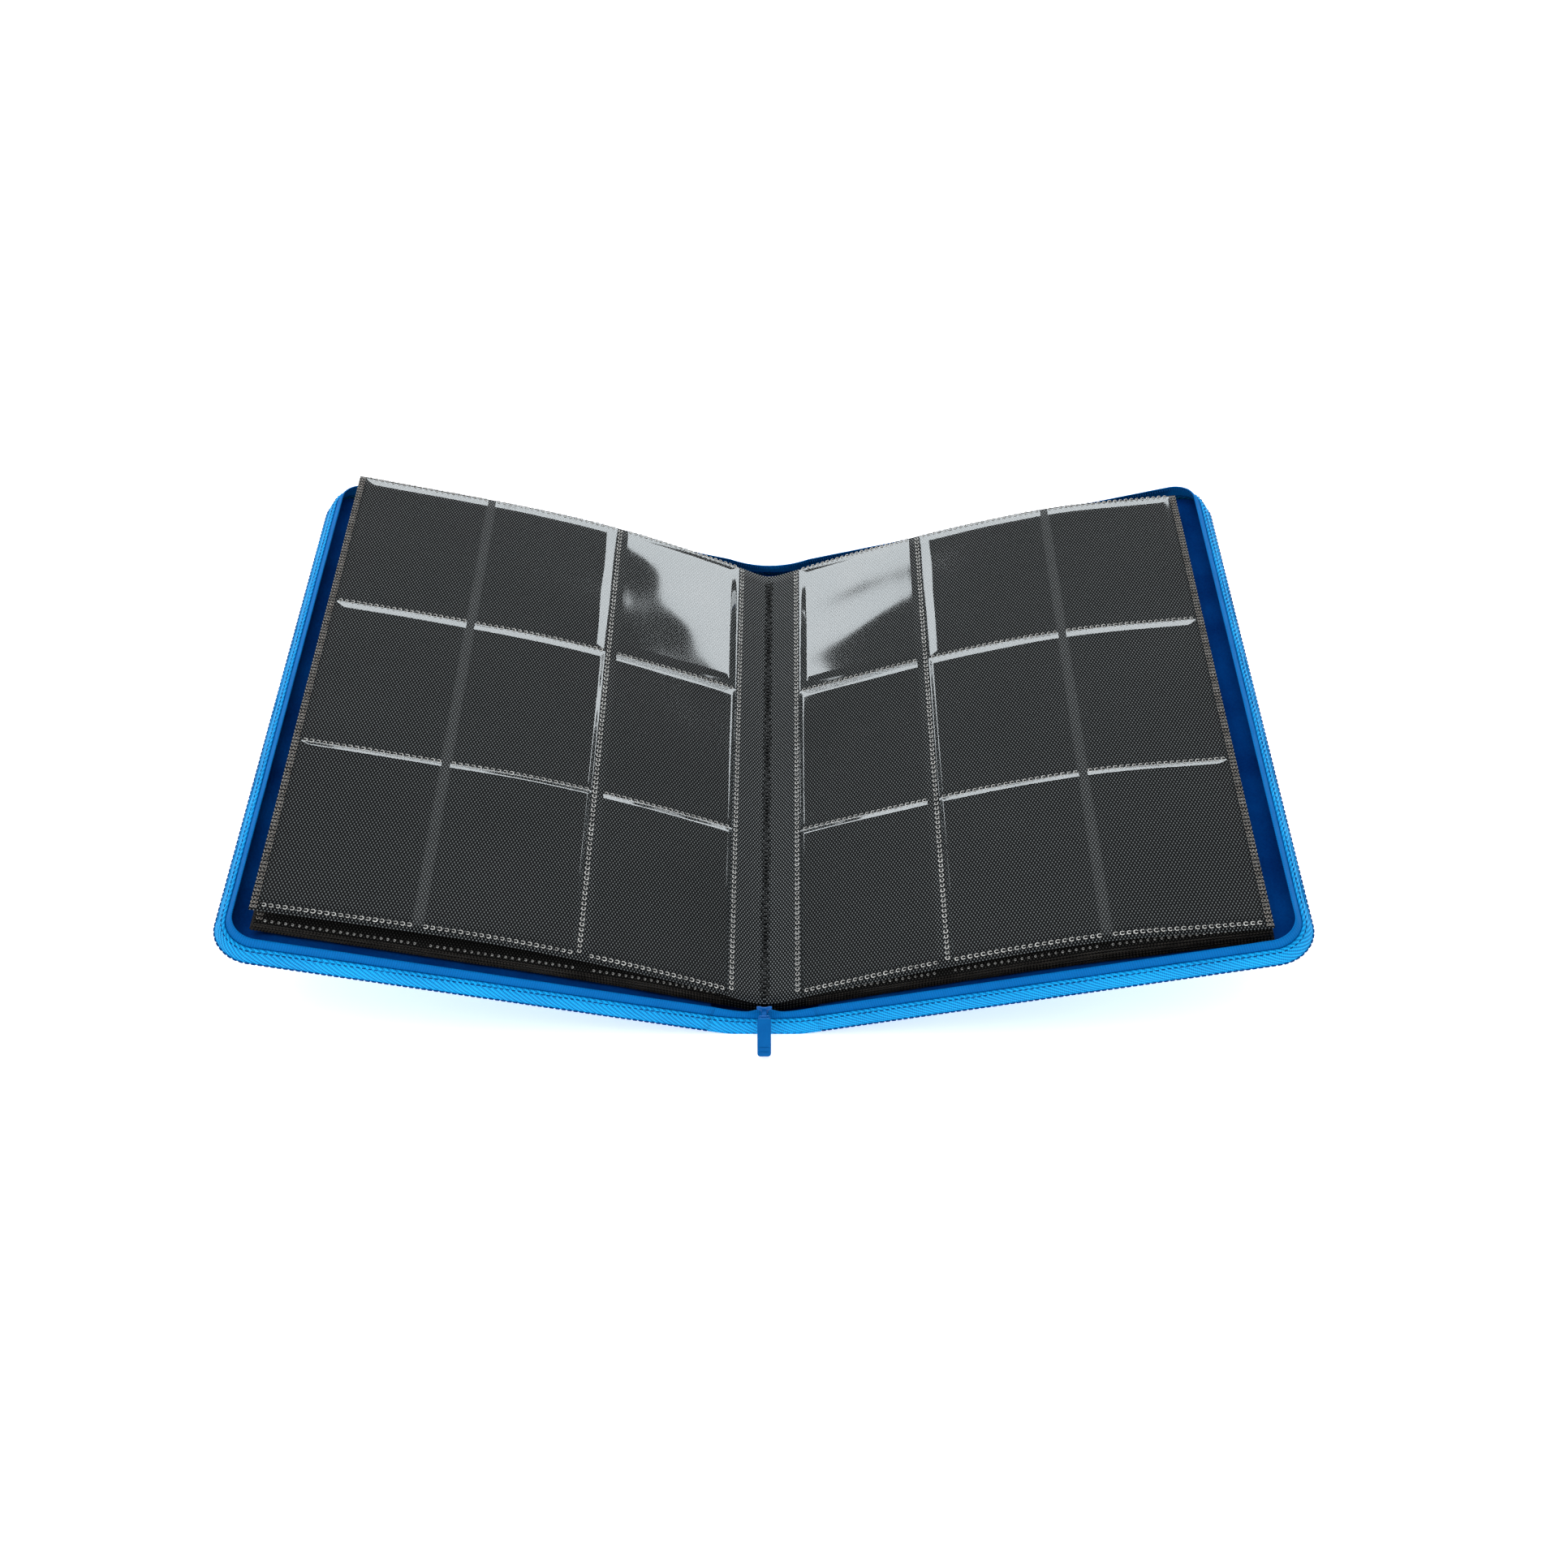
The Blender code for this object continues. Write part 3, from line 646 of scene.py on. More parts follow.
WALL_HEIGHTS = (0.0, 0.75, 1.8, 5.5, 10.0, 16.2)
SPINE_HEIGHTS = {"tail": (0.0, 0.45, 1.4, 5.8, 9.6, 13.6), "head": (0.0, 0.4, 1.2, 4.8, 8.2, 12.8)}
BEND_NEAR, BEND_FAR = 13.0, 27.0
TAIL_TAPE_START = 0.25
TAPE_LEAN, TAPE_DROP = 2.6, 0.5  # how far the tail tape's top leans in, and sinks, beside the slider
SPINE_SKIN_T, SPINE_VELVET_T, SPINE_VELVET_Z = 0.9, 0.5, 3.55
HINGE_SEAM_X = 25.4
SPINE_TURN_UP = 6.4


def spine_wall_line(side, end, inset, n, start):
    """The line of a wall across half of the spine, from near the middle out to the cover's own wall."""
    lean = n / RIM_N
    last = cover_point(1, 0.0, 0.0, n)
    t = np.linspace(0.0, 1.0, 26)
    z0 = float(np.interp(n, WALL_HEIGHTS, SPINE_HEIGHTS["tail" if end < 0 else "head"]))
    y = end * (LENGTH / 2 - LEAN_END * lean - inset)
    x = start + (last[0] - start) * t
    return np.stack([side * x, np.full(len(t), y), z0 + (last[2] - z0) * t**2], -1)


def spine_tape_line(side, end, inset, n, clear=0.0):
    """A line of the tape above that wall. The tail tape's upper part leans into the case by the slider."""
    if end > 0:
        return spine_wall_line(side, end, inset, n, clear)
    line = spine_wall_line(side, end, inset, n, TAIL_TAPE_START + clear)
    near = 1 - ease((np.abs(line[:, 0]) - 0.5) / 9.0)
    lift = np.clip((n - 11.0) / 5.0, 0, 1)
    line[:, 1] += near * lift * TAPE_LEAN
    line[:, 2] -= near * lift * TAPE_DROP
    return line


def spine_end(side, tag, bend, end, name):
    """Half of the wall and tape across the spine's tail or head, with their stitches and zip teeth."""
    out = (0, end, 0)
    rows = np.array([spine_wall_line(side, end, inset, n, 0.0) for inset, n in WALL_PROFILE])
    wall = grid(f"{name}_wall_{tag}", rows, TWILL, out, WALL_T, along=side)
    place(wall, "case_fabric", bend=bend, stands_for=(f"{name}_gusset_{tag}",))
    rows = np.array([spine_tape_line(side, end, inset, n) for inset, n in TAPE_PROFILE])
    tape = grid(f"{name}_tape_{tag}", rows, TAPE, out, TAPE_T)
    place(tape, "zip_tape", bend=bend, stands_for=(f"{name}_zip_tape_{tag}",))
    line = spine_wall_line(side, end, HEM_INSET, HEM_N, 0.4)
    stitches = strung(f"{name}_stitches_{tag}", stitch_shape(*HEM_STITCH), line, HEM_STEP, out, THREAD)
    place(stitches, "seam_thread", bend=bend)
    line = spine_tape_line(side, end, TEETH_INSET, TEETH_N, clear=0.8)
    teeth = strung(f"{name}_teeth_{tag}", tooth_shape(), line, TOOTH_PITCH, (0, 0, 1), COIL)
    place(teeth, "zip_coil", bend=bend)


def across_spine(side, xs, ys, heights):
    """Rows of points over half of the spine: heights[y, x] over its underside."""
    return np.stack([np.broadcast_to(side * xs, heights.shape), np.broadcast_to(ys[:, None], heights.shape),
                     heights], -1)


def spine_cloth(side, tag, bend):
    ys = np.linspace(-LENGTH / 2, LENGTH / 2, 60)
    xs = np.concatenate([np.linspace(0, 14, 8), np.linspace(15.5, EDGE_X, 12)])
    t = np.clip((xs - 14) / (EDGE_X - 14), 0, 1)
    under = EDGE_Z * t**2 * (1.6 - 0.6 * t)
    pucker = 0.18 * waves(ys, 0 * ys, (13.0, 31.0), 3 + side)[:, None] * np.sin(math.pi * t)[None, :] ** 2
    rows = across_spine(side, xs, ys, under[None, :] + pucker + 0.05)
    skin = grid(f"spine_cloth_{tag}", rows, TWILL, (0, 0, -1), SPINE_SKIN_T)
    nodes = (f"hinge_skin_{tag}", "spine_skin") if side > 0 else (f"hinge_skin_{tag}",)
    place(skin, "case_fabric", bend=bend, stands_for=nodes)
    line = np.stack([np.full(60, side * HINGE_SEAM_X), ys, np.full(60, EDGE_Z * 0.86 - 0.1)], -1)
    stitch, down = stitch_shape(*BACK_STITCH), (0, 0, -1)
    stitches = strung(f"hinge_stitches_{tag}", stitch, line, BACK_STEP, down, THREAD)
    place(stitches, "seam_thread", bend=bend)


def spine_velvet(side, tag, bend):
    end_x, _, end_z = cover_point(1, 0.9, 0.0, 3.95)
    xs = np.concatenate([np.linspace(0, 15, 6), np.linspace(16.5, end_x, 12)])
    t = np.clip((xs - 15) / (end_x - 15), 0, 1)
    over = SPINE_VELVET_Z + (end_z - SPINE_VELVET_Z) * t**2 * (1.6 - 0.6 * t)
    ys = np.concatenate([np.linspace(3.3, 12.0, 10), np.linspace(15.0, LENGTH - 1.4, 56)]) - LENGTH / 2
    pucker = 0.2 * waves(ys, 0 * ys, (11.0, 37.0), 8 + side)[:, None] * np.sin(math.pi * t)[None, :]
    turned = SPINE_TURN_UP * (1 - ease((ys + LENGTH / 2 - 4.0) / 7.0))
    rows = across_spine(side, xs, ys, over[None, :] + pucker + turned[:, None])
    lining = grid(f"spine_velvet_{tag}", rows, VELVET, (0, 0, 1), SPINE_VELVET_T)
    nodes = (f"hinge_lining_{tag}", "spine_lining") if side > 0 else (f"hinge_lining_{tag}",)
    place(lining, "velvet_lining", bend=bend, stands_for=nodes)


# Leaves

ROWS_Y = np.array([-148.0, -50.0, 48.0, 146.0])
RING_R, RING_WIRE, RING_PITCH = 0.92, 0.24, 3.0
GAP_X, STRIP_X, SPINE_WELD_X = (153.0, 157.0), (80.5, 86.5), 15.6
WELD_X = 84.6
PUFF = 1.25  # how far a pocket's film stands off its page
BACK_RAMPS = np.array([4.2, 6.6, 6.6])  # how far a film takes to rise from the weld behind it, row by row
FRONT_RAMP = 2.2
SIDE_RAMPS = {"outer": np.array([6.0, 6.0, 6.0]), "inner": np.array([2.2, 2.4, 6.0])}
LEAF_T = 0.34
EDGE_PITCH, BEAD_PITCH = 2.2, 1.45
GUTTER_Z0, GUTTER_T = 12.35, 0.4
GUTTER_BEND = 4.0  # a distance from the middle, passed to place with the gutter and the sewn margins
FLAT_N = 18.6  # a height over the cover's underside, where flatten puts its anchor


def leaf_surface(node):
    """Functions for a leaf: its height, and the unit normal of its upper surface on the +X side."""
    height = leaf_height(node)

    def normal(x):
        slope = (height(x + 1.0) - height(x - 1.0)) / 2.0
        size = np.sqrt(1 + slope**2)
        return -slope / size, 1 / size

    return height, normal


def on_leaf(side, surface, x, y, lift):
    """Points over a leaf's upper surface, raised by lift square to it."""
    height, normal = surface
    x, y, lift = np.broadcast_arrays(np.asarray(x, float), y, lift)
    nx, nz = normal(x)
    return np.stack([side * (x + nx * lift), y, height(x) + nz * lift], -1)


def leaf_normals(side, surface, x):
    nx, nz = surface[1](np.asarray(x, float))
    return np.stack([side * nx, 0 * nx, nz], -1)


def leaf_places(side, surface, x, y, lift, step):
    """Places along a line over a leaf, with the line's direction and the leaf's normal at each."""
    p, d = resample(on_leaf(side, surface, x, y, lift), step)
    return p, d, leaf_normals(side, surface, np.abs(p[:, 0]))


def joined(found):
    return [np.concatenate(part) for part in zip(*found)]


def rise(t):
    """From 0 to 1 along a straight slope with rounded ends."""
    t, end = np.clip(t, 0, 1), 0.25
    low, high = t**2 / (2 * end), (1 - t) ** 2 / (2 * end)
    return np.where(t < end, low, np.where(t > 1 - end, 1 - end - high, t - end / 2)) / (1 - end)


def pocket_height(x, y, x0, x1, closed_at):
    """How far a pocket's film has risen off its page: 0 at the welds, 1 inside and at the open side."""
    row = np.clip(np.searchsorted(ROWS_Y, y, "right") - 1, 0, 2)
    low, high = ROWS_Y[row], ROWS_Y[row + 1]
    edge = (x - x0) if closed_at == "inner" else (x1 - x)
    along = np.minimum(rise((high - y) / BACK_RAMPS[row]), rise((y - low) / FRONT_RAMP))
    return np.minimum(along, rise(edge / SIDE_RAMPS[closed_at][row]))


def finer_ends(start, end, first, last, step):
    """Stations from start to end, step apart near both ends and further apart between them."""
    near = start + np.arange(0.0, first, step)
    far = end - np.arange(0.0, last, step)[::-1]
    count = max(int((far[0] - near[-1]) / 3.0), 2)
    return np.concatenate([near, np.linspace(near[-1], far[0], count + 1)[1:-1], far])


def sag_at(side, x, y):
    return 0.25 * waves(x, y, (70.0, 130.0), 21 + side) * ease((x - TOP_X0) / 40)


def pocket_films(side, tag, body, surface, last):
    """A film for each column of pockets, and one welded flat between the outer and middle columns."""
    columns = {
        "outer": (GAP_X[1], last - 3.0, "outer"),
        "middle": (WELD_X + 1.6, GAP_X[0], "inner"),
        "inner": (SPINE_WELD_X + 1.8, STRIP_X[0], "inner"),
    }
    front, back = FRONT_RAMP + 0.6, BACK_RAMPS.max() + 0.6
    made = []
    for column, (x0, x1, closed_at) in columns.items():
        px = finer_ends(x0, x1, 7.0, 7.0, 0.5)
        py = [finer_ends(a, b, front, back, 0.4) for a, b in zip(ROWS_Y, ROWS_Y[1:])]
        x, y = np.meshgrid(px, np.unique(np.concatenate(py)))
        full = PUFF + 0.22 * waves(x, y, (45.0, 80.0), 40 + side + len(column))
        if column == "inner":
            # The pocket beside the spine at the head is fuller towards its front, most of all by the spine
            forward = np.clip((ROWS_Y[3] - y) / (ROWS_Y[3] - ROWS_Y[2]), 0, 1) * (y > ROWS_Y[2])
            full = full + forward * (3.0 - 1.1 * (x - x0) / (x1 - x0)) - 0.2
        lift = 0.12 + full * pocket_height(x, y, x0, x1, closed_at) + sag_at(side, x, y)
        film = grid(f"pockets_{column}_{tag}", on_leaf(side, surface, x, y, lift), FILM, (0, 0, 1))
        made.append(place(film, "pocket_film", body, stands_for=(f"film_{tag}_{column}",)))

    px = np.linspace(GAP_X[0] - 0.7, GAP_X[1] + 0.7, 4)
    x, y = np.meshgrid(px, np.linspace(ROWS_Y[0], ROWS_Y[-1], 60))
    strip = grid(f"gap_film_{tag}", on_leaf(side, surface, x, y, sag_at(side, x, y) + 0.08), HAZE, (0, 0, 1))
    return made + [place(strip, "pocket_film", body)]


def leaf_welds(side, tag, body, surface, last):
    """Ring welds across under each row and up between the columns, and the weld of the outer edge."""
    lines = []
    for y0 in ROWS_Y:
        for a, b in ((SPINE_WELD_X + 3, STRIP_X[0]), (WELD_X + 2.5, GAP_X[0]), (GAP_X[1], last - 4.5)):
            lines.append((np.linspace(a, b, 30), np.full(30, y0)))
    lines.append((np.full(60, WELD_X), np.linspace(ROWS_Y[0], ROWS_Y[-1], 60)))
    found = joined(
        leaf_places(side, surface, x, y, 0.26 + sag_at(side, x, y), RING_PITCH) for x, y in lines
    )
    size = rng.uniform(0.88, 1.1, len(found[0]))
    welds = scatter(f"ring_welds_{tag}", hook_shape(RING_R, RING_WIRE), *found, HOOKS, size)
    y = np.linspace(LEAF_Y[0] + 0.6, LEAF_Y[1] - 0.6, 80)
    lines = [np.full(80, last - inset) for inset in (1.0, 2.5)]
    found = joined(leaf_places(side, surface, x, y, 0.2 + sag_at(side, x, y), EDGE_PITCH) for x in lines)
    band = scatter(f"edge_weld_{tag}", hook_shape(0.62, 0.22), *found, BANDS)
    return [place(welds, "pocket_film", body), place(band, "pocket_film", body)]


def top_leaf(side, tag, body):
    surface = leaf_surface(f"leaf_{tag}10")
    last = TOP_X1[side]
    xs = TOP_X0 + (last - TOP_X0) * np.linspace(0, 1, 46) ** 1.15
    x, y = np.meshgrid(xs, np.linspace(*LEAF_Y, 40))
    points = on_leaf(side, surface, x, y, sag_at(side, x, y) - 0.3)
    page = grid(f"page_{tag}", points, SHEET, (0, 0, 1), LEAF_T)
    place(page, "leaf_sheet", body, stands_for=(f"leaf_{tag}10",))
    films = pocket_films(side, tag, body, surface, last)
    return [page, *films, *leaf_welds(side, tag, body, surface, last)]


def flatten(side, pieces):
    """Gives each piece of a top leaf a mesh of its own."""
    anchor = cover_point(side, 100.0, 0.0, FLAT_N) * MM
    for piece in pieces:
        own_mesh(piece)


def lower_leaves(side, tag, body):
    """The nine leaves below, the beads of their welded edges, and the welds that show on the ninth."""
    beads, dots, hooks = [], [], []
    for k in range(1, 10):
        node_name = f"leaf_{tag}{k:02d}"
        surface = leaf_surface(node_name)
        low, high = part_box(node_name)
        last = max(abs(low.x), abs(high.x)) / MM - 0.2
        shift = 0.35 * math.sin(2.4 * k + side)
        xs = BLOCK_X0 + (last - BLOCK_X0) * np.linspace(0, 1, 30) ** 1.2
        ys = np.linspace(LEAF_Y[0] + 0.6 + shift, LEAF_Y[1] - 0.6 + shift, 34)
        x, y = np.meshgrid(xs, ys)
        wave = 0.07 * waves(x, y, (26.0, 60.0), 60 + k) * ease((x - BLOCK_X0) / 20)
        leaf = grid(f"lower_leaf_{tag}{k}", on_leaf(side, surface, x, y, wave), SHADED_LOWER_LEAF, (0, 0, 1), LEAF_T)
        place(leaf, "leaf_sheet", body, stands_for=(node_name,))
        for lx, ly in (
            (xs, np.full(30, ys[0] - 0.1)), (xs, np.full(30, ys[-1] + 0.1)),
            (np.full(40, last + 0.1), np.linspace(ys[0], ys[-1], 40)),
        ):
            beads.append(leaf_places(side, surface, lx, ly, -0.12, BEAD_PITCH))
    for y0 in (ROWS_Y[0], ROWS_Y[-1]):
        for a, b in ((SPINE_WELD_X + 7, STRIP_X[0]), (WELD_X + 2.5, GAP_X[0]), (GAP_X[1], last - 3)):
            dots.append(leaf_places(side, surface, np.linspace(a, b, 30), np.full(30, y0), 0.12, RING_PITCH))
    y = np.linspace(ROWS_Y[0], ROWS_Y[-1], 60)
    for inset in (1.2, 2.6):
        hooks.append(leaf_places(side, surface, np.full(60, last - inset), y, 0.12, EDGE_PITCH))
    bead = tube_shape([(-0.5, 0, 0), (-0.35, 0, 0), (0.35, 0, 0), (0.5, 0, 0)], 0.3, sides=6, ends=0.6)
    place(scatter(f"edge_beads_{tag}", bead, *joined(beads), EDGES), "leaf_sheet", body)
    place(scatter(f"lower_welds_{tag}", hook_shape(0.5, 0.2), *joined(dots), HOOKS), "pocket_film", body)
    place(scatter(f"lower_edge_weld_{tag}", hook_shape(0.6, 0.2), *joined(hooks), BANDS), "pocket_film", body)


def hermite(x, x0, x1, z0, z1, s0, s1):
    h = x1 - x0
    t = (x - x0) / h
    return (
        (2 * t**3 - 3 * t**2 + 1) * z0 + (t**3 - 2 * t**2 + t) * h * s0
        + (3 * t**2 - 2 * t**3) * z1 + (t**3 - t**2) * h * s1
    )


def gutter(side, tag, bend):
    """The top leaf's sewn margin, from the fold to its crease, with the weld beside it."""
    height, _ = leaf_surface(f"leaf_{tag}10")
    z1 = float(height(TOP_X0 + 0.3)) - 0.1
    slope = float(height(TOP_X0 + 4.3) - height(TOP_X0 + 0.3)) / 4.0

    def curve(x):
        return hermite(x, 0.0, TOP_X0 + 0.4, GUTTER_Z0, z1, 0.0, slope)

    x, y = np.meshgrid(np.linspace(0.0, TOP_X0 + 0.4, 20), np.linspace(*LEAF_Y, 50))
    z = curve(x) + 0.12 * waves(x * 0, y, (17.0, 44.0), 71) * np.sin(math.pi * x / TOP_X0)
    points = np.stack([side * x, y, z], -1)
    margin = grid(f"gutter_{tag}_sheet", points, GUTTER, (0, 0, 1), GUTTER_T)
    nodes = (f"gutter_{tag}", "binding_fold", "zigzag_seam") if side > 0 else (f"gutter_{tag}",)
    place(margin, "leaf_sheet", bend=bend, stands_for=nodes)
    line = np.stack([np.full(60, side * SPINE_WELD_X), np.linspace(ROWS_Y[0], LEAF_Y[1] - 0.8, 60),
                     np.full(60, float(curve(SPINE_WELD_X)) + 0.12)], -1)
    tilt = (-side * math.sin(math.atan(slope)), 0, math.cos(math.atan(slope)))
    welds = strung(f"spine_welds_{tag}", hook_shape(RING_R, RING_WIRE), line, RING_PITCH, tilt, HOOKS)
    place(welds, "pocket_film", bend=bend)


def sewn_margins(side, tag, bend):
    """The margins of the leaves below, fanning out from the fold."""
    points, faces, flat = [], [], []
    xs = np.linspace(1.2, BLOCK_X0 + 0.4, 14)
    ys = np.linspace(LEAF_Y[0] + 0.5, LEAF_Y[1] - 0.5, 12)
    for k in range(1, 10):
        height, _ = leaf_surface(f"leaf_{tag}{k:02d}")
        outer = float(height(BLOCK_X0 + 0.5))
        incline = float(height(BLOCK_X0 + 4.5) - outer) / 4.0
        z = hermite(xs, xs[0], xs[-1], 5.3 + 0.74 * (k - 1), outer, 0.05, incline)
        x, y = np.meshgrid(xs, ys + 0.35 * math.sin(2.4 * k + side))
        start = sum(len(p) for p in points)
        faces += (quads(len(ys), len(xs))[:, :: side] + start).tolist()
        points.append(np.stack([side * x, y, np.broadcast_to(z, x.shape)], -1).reshape(-1, 3))
        flat.append(np.stack([x.ravel(), y.ravel(), 0 * x.ravel()], -1))
    # The margins carry the lower leaves' painted shade
    margins = build(f"sewn_margins_{tag}", np.concatenate(points), faces, SHADED_LOWER_LEAF, np.concatenate(flat))
    solid = margins.modifiers.new("thickness", "SOLIDIFY")
    solid.thickness = GUTTER_T * MM
    place(margins, "leaf_sheet", bend=bend)


def zigzag():
    pitch, half, margin = 4.7, 2.1, 3.0
    count = int((LEAF_Y[1] - LEAF_Y[0] - 2 * margin) / (pitch / 2))
    ys = LEAF_Y[0] + margin + np.arange(count) * pitch / 2
    xs = np.where(np.arange(count) % 2, half, -half) * rng.uniform(0.9, 1.08, count)
    corners = np.stack([xs, ys, np.full(count, GUTTER_Z0 + 0.5)], -1)
    places, along = (corners[1:] + corners[:-1]) / 2, corners[1:] - corners[:-1]
    length = float(np.linalg.norm(along, axis=1).mean())
    up = np.tile(np.array([0, 0, 1.0]), (len(places), 1))
    stitches = scatter("zigzag_thread", stitch_shape(length * 1.06, 0.42), places, along, up, BLACK_THREAD)
    place(stitches, "seam_thread", "spine")


# Slider and pull tab


def rounded_plate(name, outline, thickness, edge, material):
    """A plate from a closed outline of (x, y), with its edges rolled over."""
    outline = np.asarray(outline, float)
    middle = outline.mean(0)
    ahead = np.roll(outline, -1, 0) - np.roll(outline, 1, 0)
    inward = np.stack([-ahead[:, 1], ahead[:, 0]], -1)
    inward /= np.linalg.norm(inward, axis=1, keepdims=True)
    if (inward * (middle - outline)).sum() < 0:
        inward = -inward
    half = thickness / 2
    rings = []
    for turn in np.radians(range(-90, 91, 30)):
        inset = edge * (1 - math.cos(turn))
        z = (half - edge) * np.sign(turn) + edge * math.sin(turn) if turn else 0.0
        rings.append(np.column_stack([outline + inward * inset, np.full(len(outline), z)]))
    count = len(outline)
    faces = quads(len(rings), count, closed=True).tolist()
    faces.append(list(range(count))[::-1])
    faces.append([(len(rings) - 1) * count + k for k in range(count)])
    obj = build(name, np.concatenate(rings), faces, material)
    recalc(obj)
    return obj


def recalc(obj):
    bm = bmesh.new()
    bm.from_mesh(obj.data)
    bmesh.ops.recalc_face_normals(bm, faces=bm.faces)
    bm.to_mesh(obj.data)
    bm.free()
    obj.data.set_sharp_from_angle(angle=math.radians(50))


TAB_LENGTH, TAB_WIDTH, TAB_T, TAB_SLOPE = 16.8, 6.4, 1.5, math.radians(50.0)
TAB_CORNER = 1.5
TAB_RIDGES = (12.4, 14.6)
SLIDER_FRONT_Y, SLIDER_BACK_Y = -160.95, -156.6


def pull_tab():
    """Drawn along +Y from the pivot and laid down in front of the slider."""
    half = TAB_WIDTH / 2
    outline = [(1.9, -1.6), (half - 0.55, -1.3), (half - 0.15, -0.8), (half, 0.1)]
    for a in np.radians(np.linspace(0, 90, 7)):
        x = half - TAB_CORNER * (1 - math.cos(a))
        outline.append((x, TAB_LENGTH - TAB_CORNER * (1 - math.sin(a))))
    outline += [(-x, y) for x, y in reversed(outline)]
    tab = rounded_plate("pull_tab_moulded", outline, TAB_T, 0.35, TAB)
    pieces = [tab]
    for k, y in enumerate(TAB_RIDGES):
        face = TAB_T / 2 + 0.02
        here = np.array([[0.0, y, face], [0.0, y, -face]])
        along, up = np.array([[1.0, 0, 0]] * 2), np.array([[0, 0, 1.0], [0, 0, -1.0]])
        pieces.append(scatter(f"tab_ridge_{k}", stitch_shape(TAB_WIDTH - 1.0, 0.22), here, along, up, TAB))
    for piece in pieces:
        piece.location = Vector(TAB_PIVOT * MM)
        piece.rotation_euler = (math.pi + TAB_SLOPE, 0, 0)
        place(piece, "pull_tab", "pull_tab", stands_for=("pull_tab",) if piece is tab else ())


def upright_plate(name, half_outline, y, thickness, edge):
    """A plate standing across the zip, from the right half of its outline in (x, z)."""
    outline = half_outline + [(-x, z) for x, z in reversed(half_outline)]
    plate = rounded_plate(name, outline, thickness, edge, ENAMEL)
    plate.rotation_euler = (math.radians(90), 0, 0)
    plate.location = (0, y * MM, 0)
    return plate


def slider():
    nose = [(0.9, 12.6), (1.9, 12.0), (2.6, 13.0), (2.9, 14.6), (2.8, 16.0), (2.2, 16.9), (1.2, 16.7)]
    front = upright_plate("slider_front", nose, SLIDER_FRONT_Y, 1.3, 0.4)
    place(front, "slider_metal", "spine", stands_for=("zip_slider",))
    wings = [(0.7, 12.2), (1.4, 12.5), (1.5, 14.8), (2.5, 16.0)]
    wings += [(3.6, 16.9), (3.6, 17.7), (2.3, 18.0), (0.9, 17.3)]
    place(upright_plate("slider_back_wing", wings, SLIDER_BACK_Y, 1.2, 0.35), "slider_metal", "spine")
    ends = (SLIDER_FRONT_Y, SLIDER_BACK_Y)
    web = [(-1.1, ends[0]), (1.1, ends[0]), (1.1, ends[1]), (-1.1, ends[1])]
    post = rounded_plate("slider_post_web", web, 4.2, 0.4, ENAMEL)
    post.location = (0, 0, 14.4 * MM)
    place(post, "slider_metal", "spine")
    arch = [(-1.8, 1.8, 0), (-1.8, 0.3, 0), (-1.3, -0.8, 0), (1.3, -0.8, 0), (1.8, 0.3, 0), (1.8, 1.8, 0)]
    bridge = tube_shape(arch, 0.6, sides=8, ends=1.0)
    here = (TAB_PIVOT + np.array([0, 0.7, 0.1]))[None]
    loop = scatter("slider_bridge", bridge, here, np.array([[1.0, 0, 0]]), np.array([[0, 0, 1.0]]), ENAMEL)
    place(loop, "slider_metal", "spine")


for side, tag, body in SIDES:
    case_wall(side, tag, body)
    boarded_back(side, tag, body)
    cover_lining(side, tag, body)
    spine_bend = (side, body, BEND_NEAR, BEND_FAR)
    for end, name in ((-1, "tail"), (1, "head")):
        spine_end(side, tag, spine_bend, end, name)
    spine_cloth(side, tag, spine_bend)
    spine_velvet(side, tag, spine_bend)
    gutter_bend = (side, body, GUTTER_BEND, BLOCK_X0)
    gutter(side, tag, gutter_bend)
    sewn_margins(side, tag, gutter_bend)
    lower_leaves(side, tag, body)
    flatten(side, top_leaf(side, tag, "turning_leaf" if side < 0 else body))
zigzag()
pull_tab()
slider()

for name, material in (
    ("cover_board_l", BOARD), ("cover_board_r", BOARD), ("spine_board", BOARD), ("binding_tape", CLOTH),
):
    obj = frame["nodes"][name]
    obj.data.materials.clear()
    obj.data.materials.append(material)

# Studio

FLOOR_Z, FLOOR_HALF = -0.1, 4000
LIGHTS = (  # name, place, aim, size and radiance
    ("back_panel", (0, 2.0, 0.75), (0, 0, 0.06), (4.2, 1.02), 6.0),
    ("mirrored_panel", (0, 1.97, 0.74), (0, 0, 0.06), (4.2, 1.02), 3.1),
    ("top", (-0.2, -0.35, 2.2), (0, 0, 0.03), (2.4, 1.0), 2.6),
    ("front", (-0.3, -2.0, 0.7), (0, 0, 0.03), (2.4, 0.6), 3.6),
    ("fill_left", (-2.2, 0.2, 0.9), (0, 0, 0.03), (1.4, 1.0), 1.4),
    ("fill_right", (2.2, 0.2, 0.9), (0, 0, 0.03), (1.4, 1.0), 1.4),
)
LENS, SENSOR = 38.87, 36.0
CAMERA_AT = (0.010, -0.595, 0.6855)
CAMERA_DOWN, CAMERA_TURN = 49.2, 0.1  # degrees below level, and degrees about the vertical


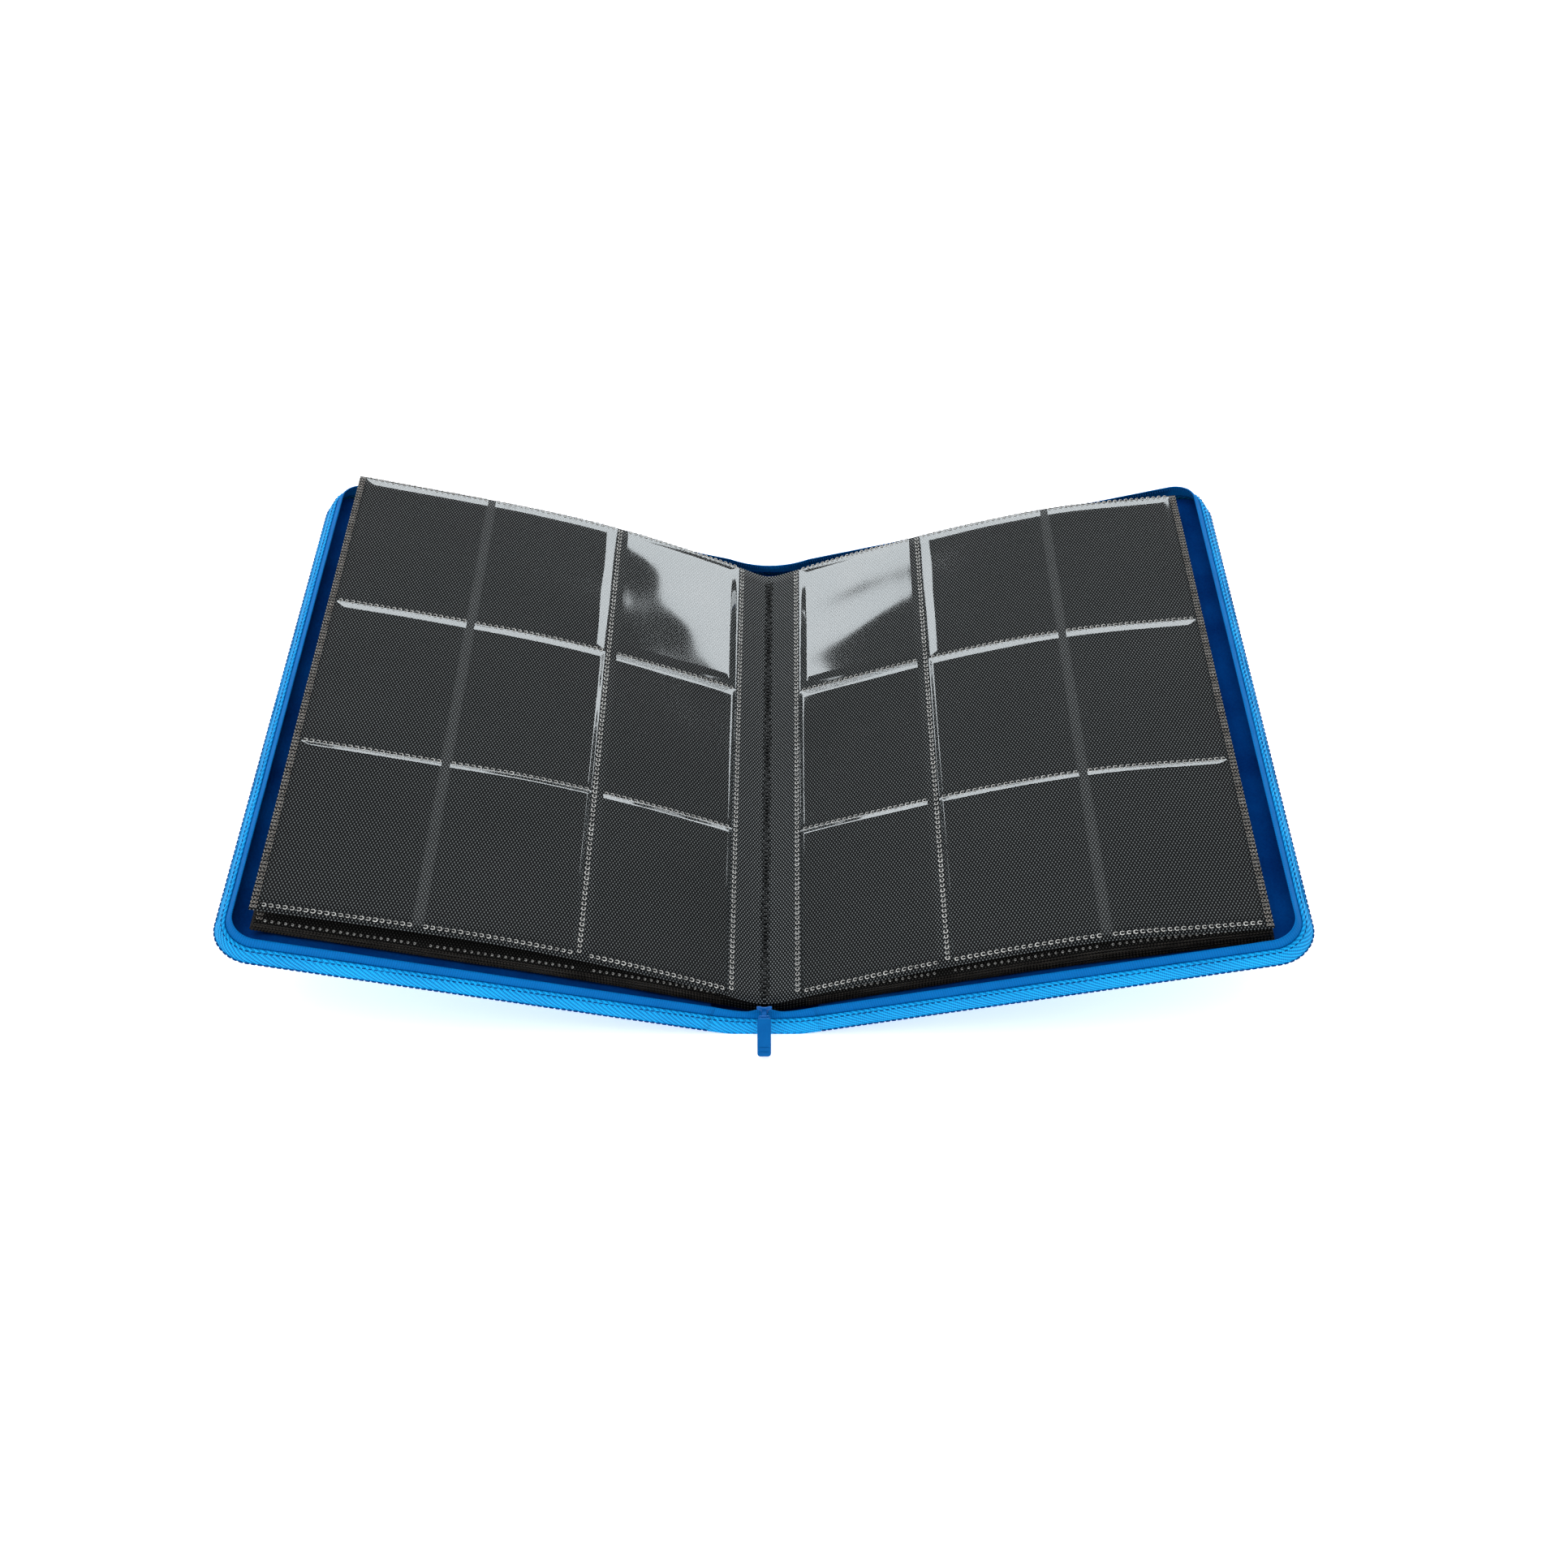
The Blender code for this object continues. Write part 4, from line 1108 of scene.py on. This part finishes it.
def studio():
    turns = ((-1, -1), (1, -1), (1, 1), (-1, 1))
    corners = [(x * FLOOR_HALF, y * FLOOR_HALF, FLOOR_Z) for x, y in turns]
    floor = build("floor", corners, [[0, 1, 2, 3]], floor_material(), smooth=False)
    world = bpy.data.worlds.new("studio")
    bpy.context.scene.world = world
    world.use_nodes = True
    tree = world.node_tree
    background = tree.nodes["Background"]
    background.inputs["Color"].default_value = (0.985, 0.99, 1.0, 1)
    # Films and enamel mirror the dark of the studio, not the pale sweep behind it
    rays = node(tree, "LightPath").outputs
    soft = node(tree, "MapRange", rays["Is Glossy Ray"], 0.0, 1.0, 0.5, 0.03).outputs[0]
    strength = sums(tree, "MULTIPLY_ADD", rays["Is Camera Ray"], 0.5, soft)
    tree.links.new(strength, background.inputs["Strength"])
    for name, at, aim, size, radiance in LIGHTS:
        light = bpy.data.lights.new(name, "AREA")
        light.shape = "RECTANGLE"
        light.size, light.size_y = size
        light.energy = radiance * math.pi * size[0] * size[1]
        obj = bpy.data.objects.new(name, light)
        bpy.context.scene.collection.objects.link(obj)
        obj.location = at
        obj.rotation_euler = (Vector(aim) - Vector(at)).to_track_quat("-Z", "Y").to_euler()
        obj.visible_camera = False
        obj.visible_glossy = name == "mirrored_panel"
        obj.visible_diffuse = not obj.visible_glossy


def floor_material():
    def paint(tree, own):
        patch = noise(tree, 1.5, 2.0, own)
        return mixed(tree, patch, (0.9, 0.9, 0.9), (0.93, 0.93, 0.93)), None, None, 0

    made = finish_material("pale_floor", 0.9, paint, Specular_IOR_Level=0.0)
    shader = made.node_tree.nodes["Principled BSDF"]
    shader.inputs["Emission Color"].default_value = (1, 1, 1, 1)
    shader.inputs["Emission Strength"].default_value = 0.45
    return made


studio()
camera = bpy.data.objects.new("camera", bpy.data.cameras.new("camera"))
bpy.context.scene.collection.objects.link(camera)
camera.data.lens, camera.data.sensor_width = LENS, SENSOR
camera.data.clip_start, camera.data.clip_end = 0.01, 50.0
camera.location = CAMERA_AT
camera.rotation_euler = (math.radians(90 - CAMERA_DOWN), 0.0, math.radians(CAMERA_TURN))
bpy.context.scene.camera = camera
bpy.context.scene.view_settings.view_transform = "Standard"
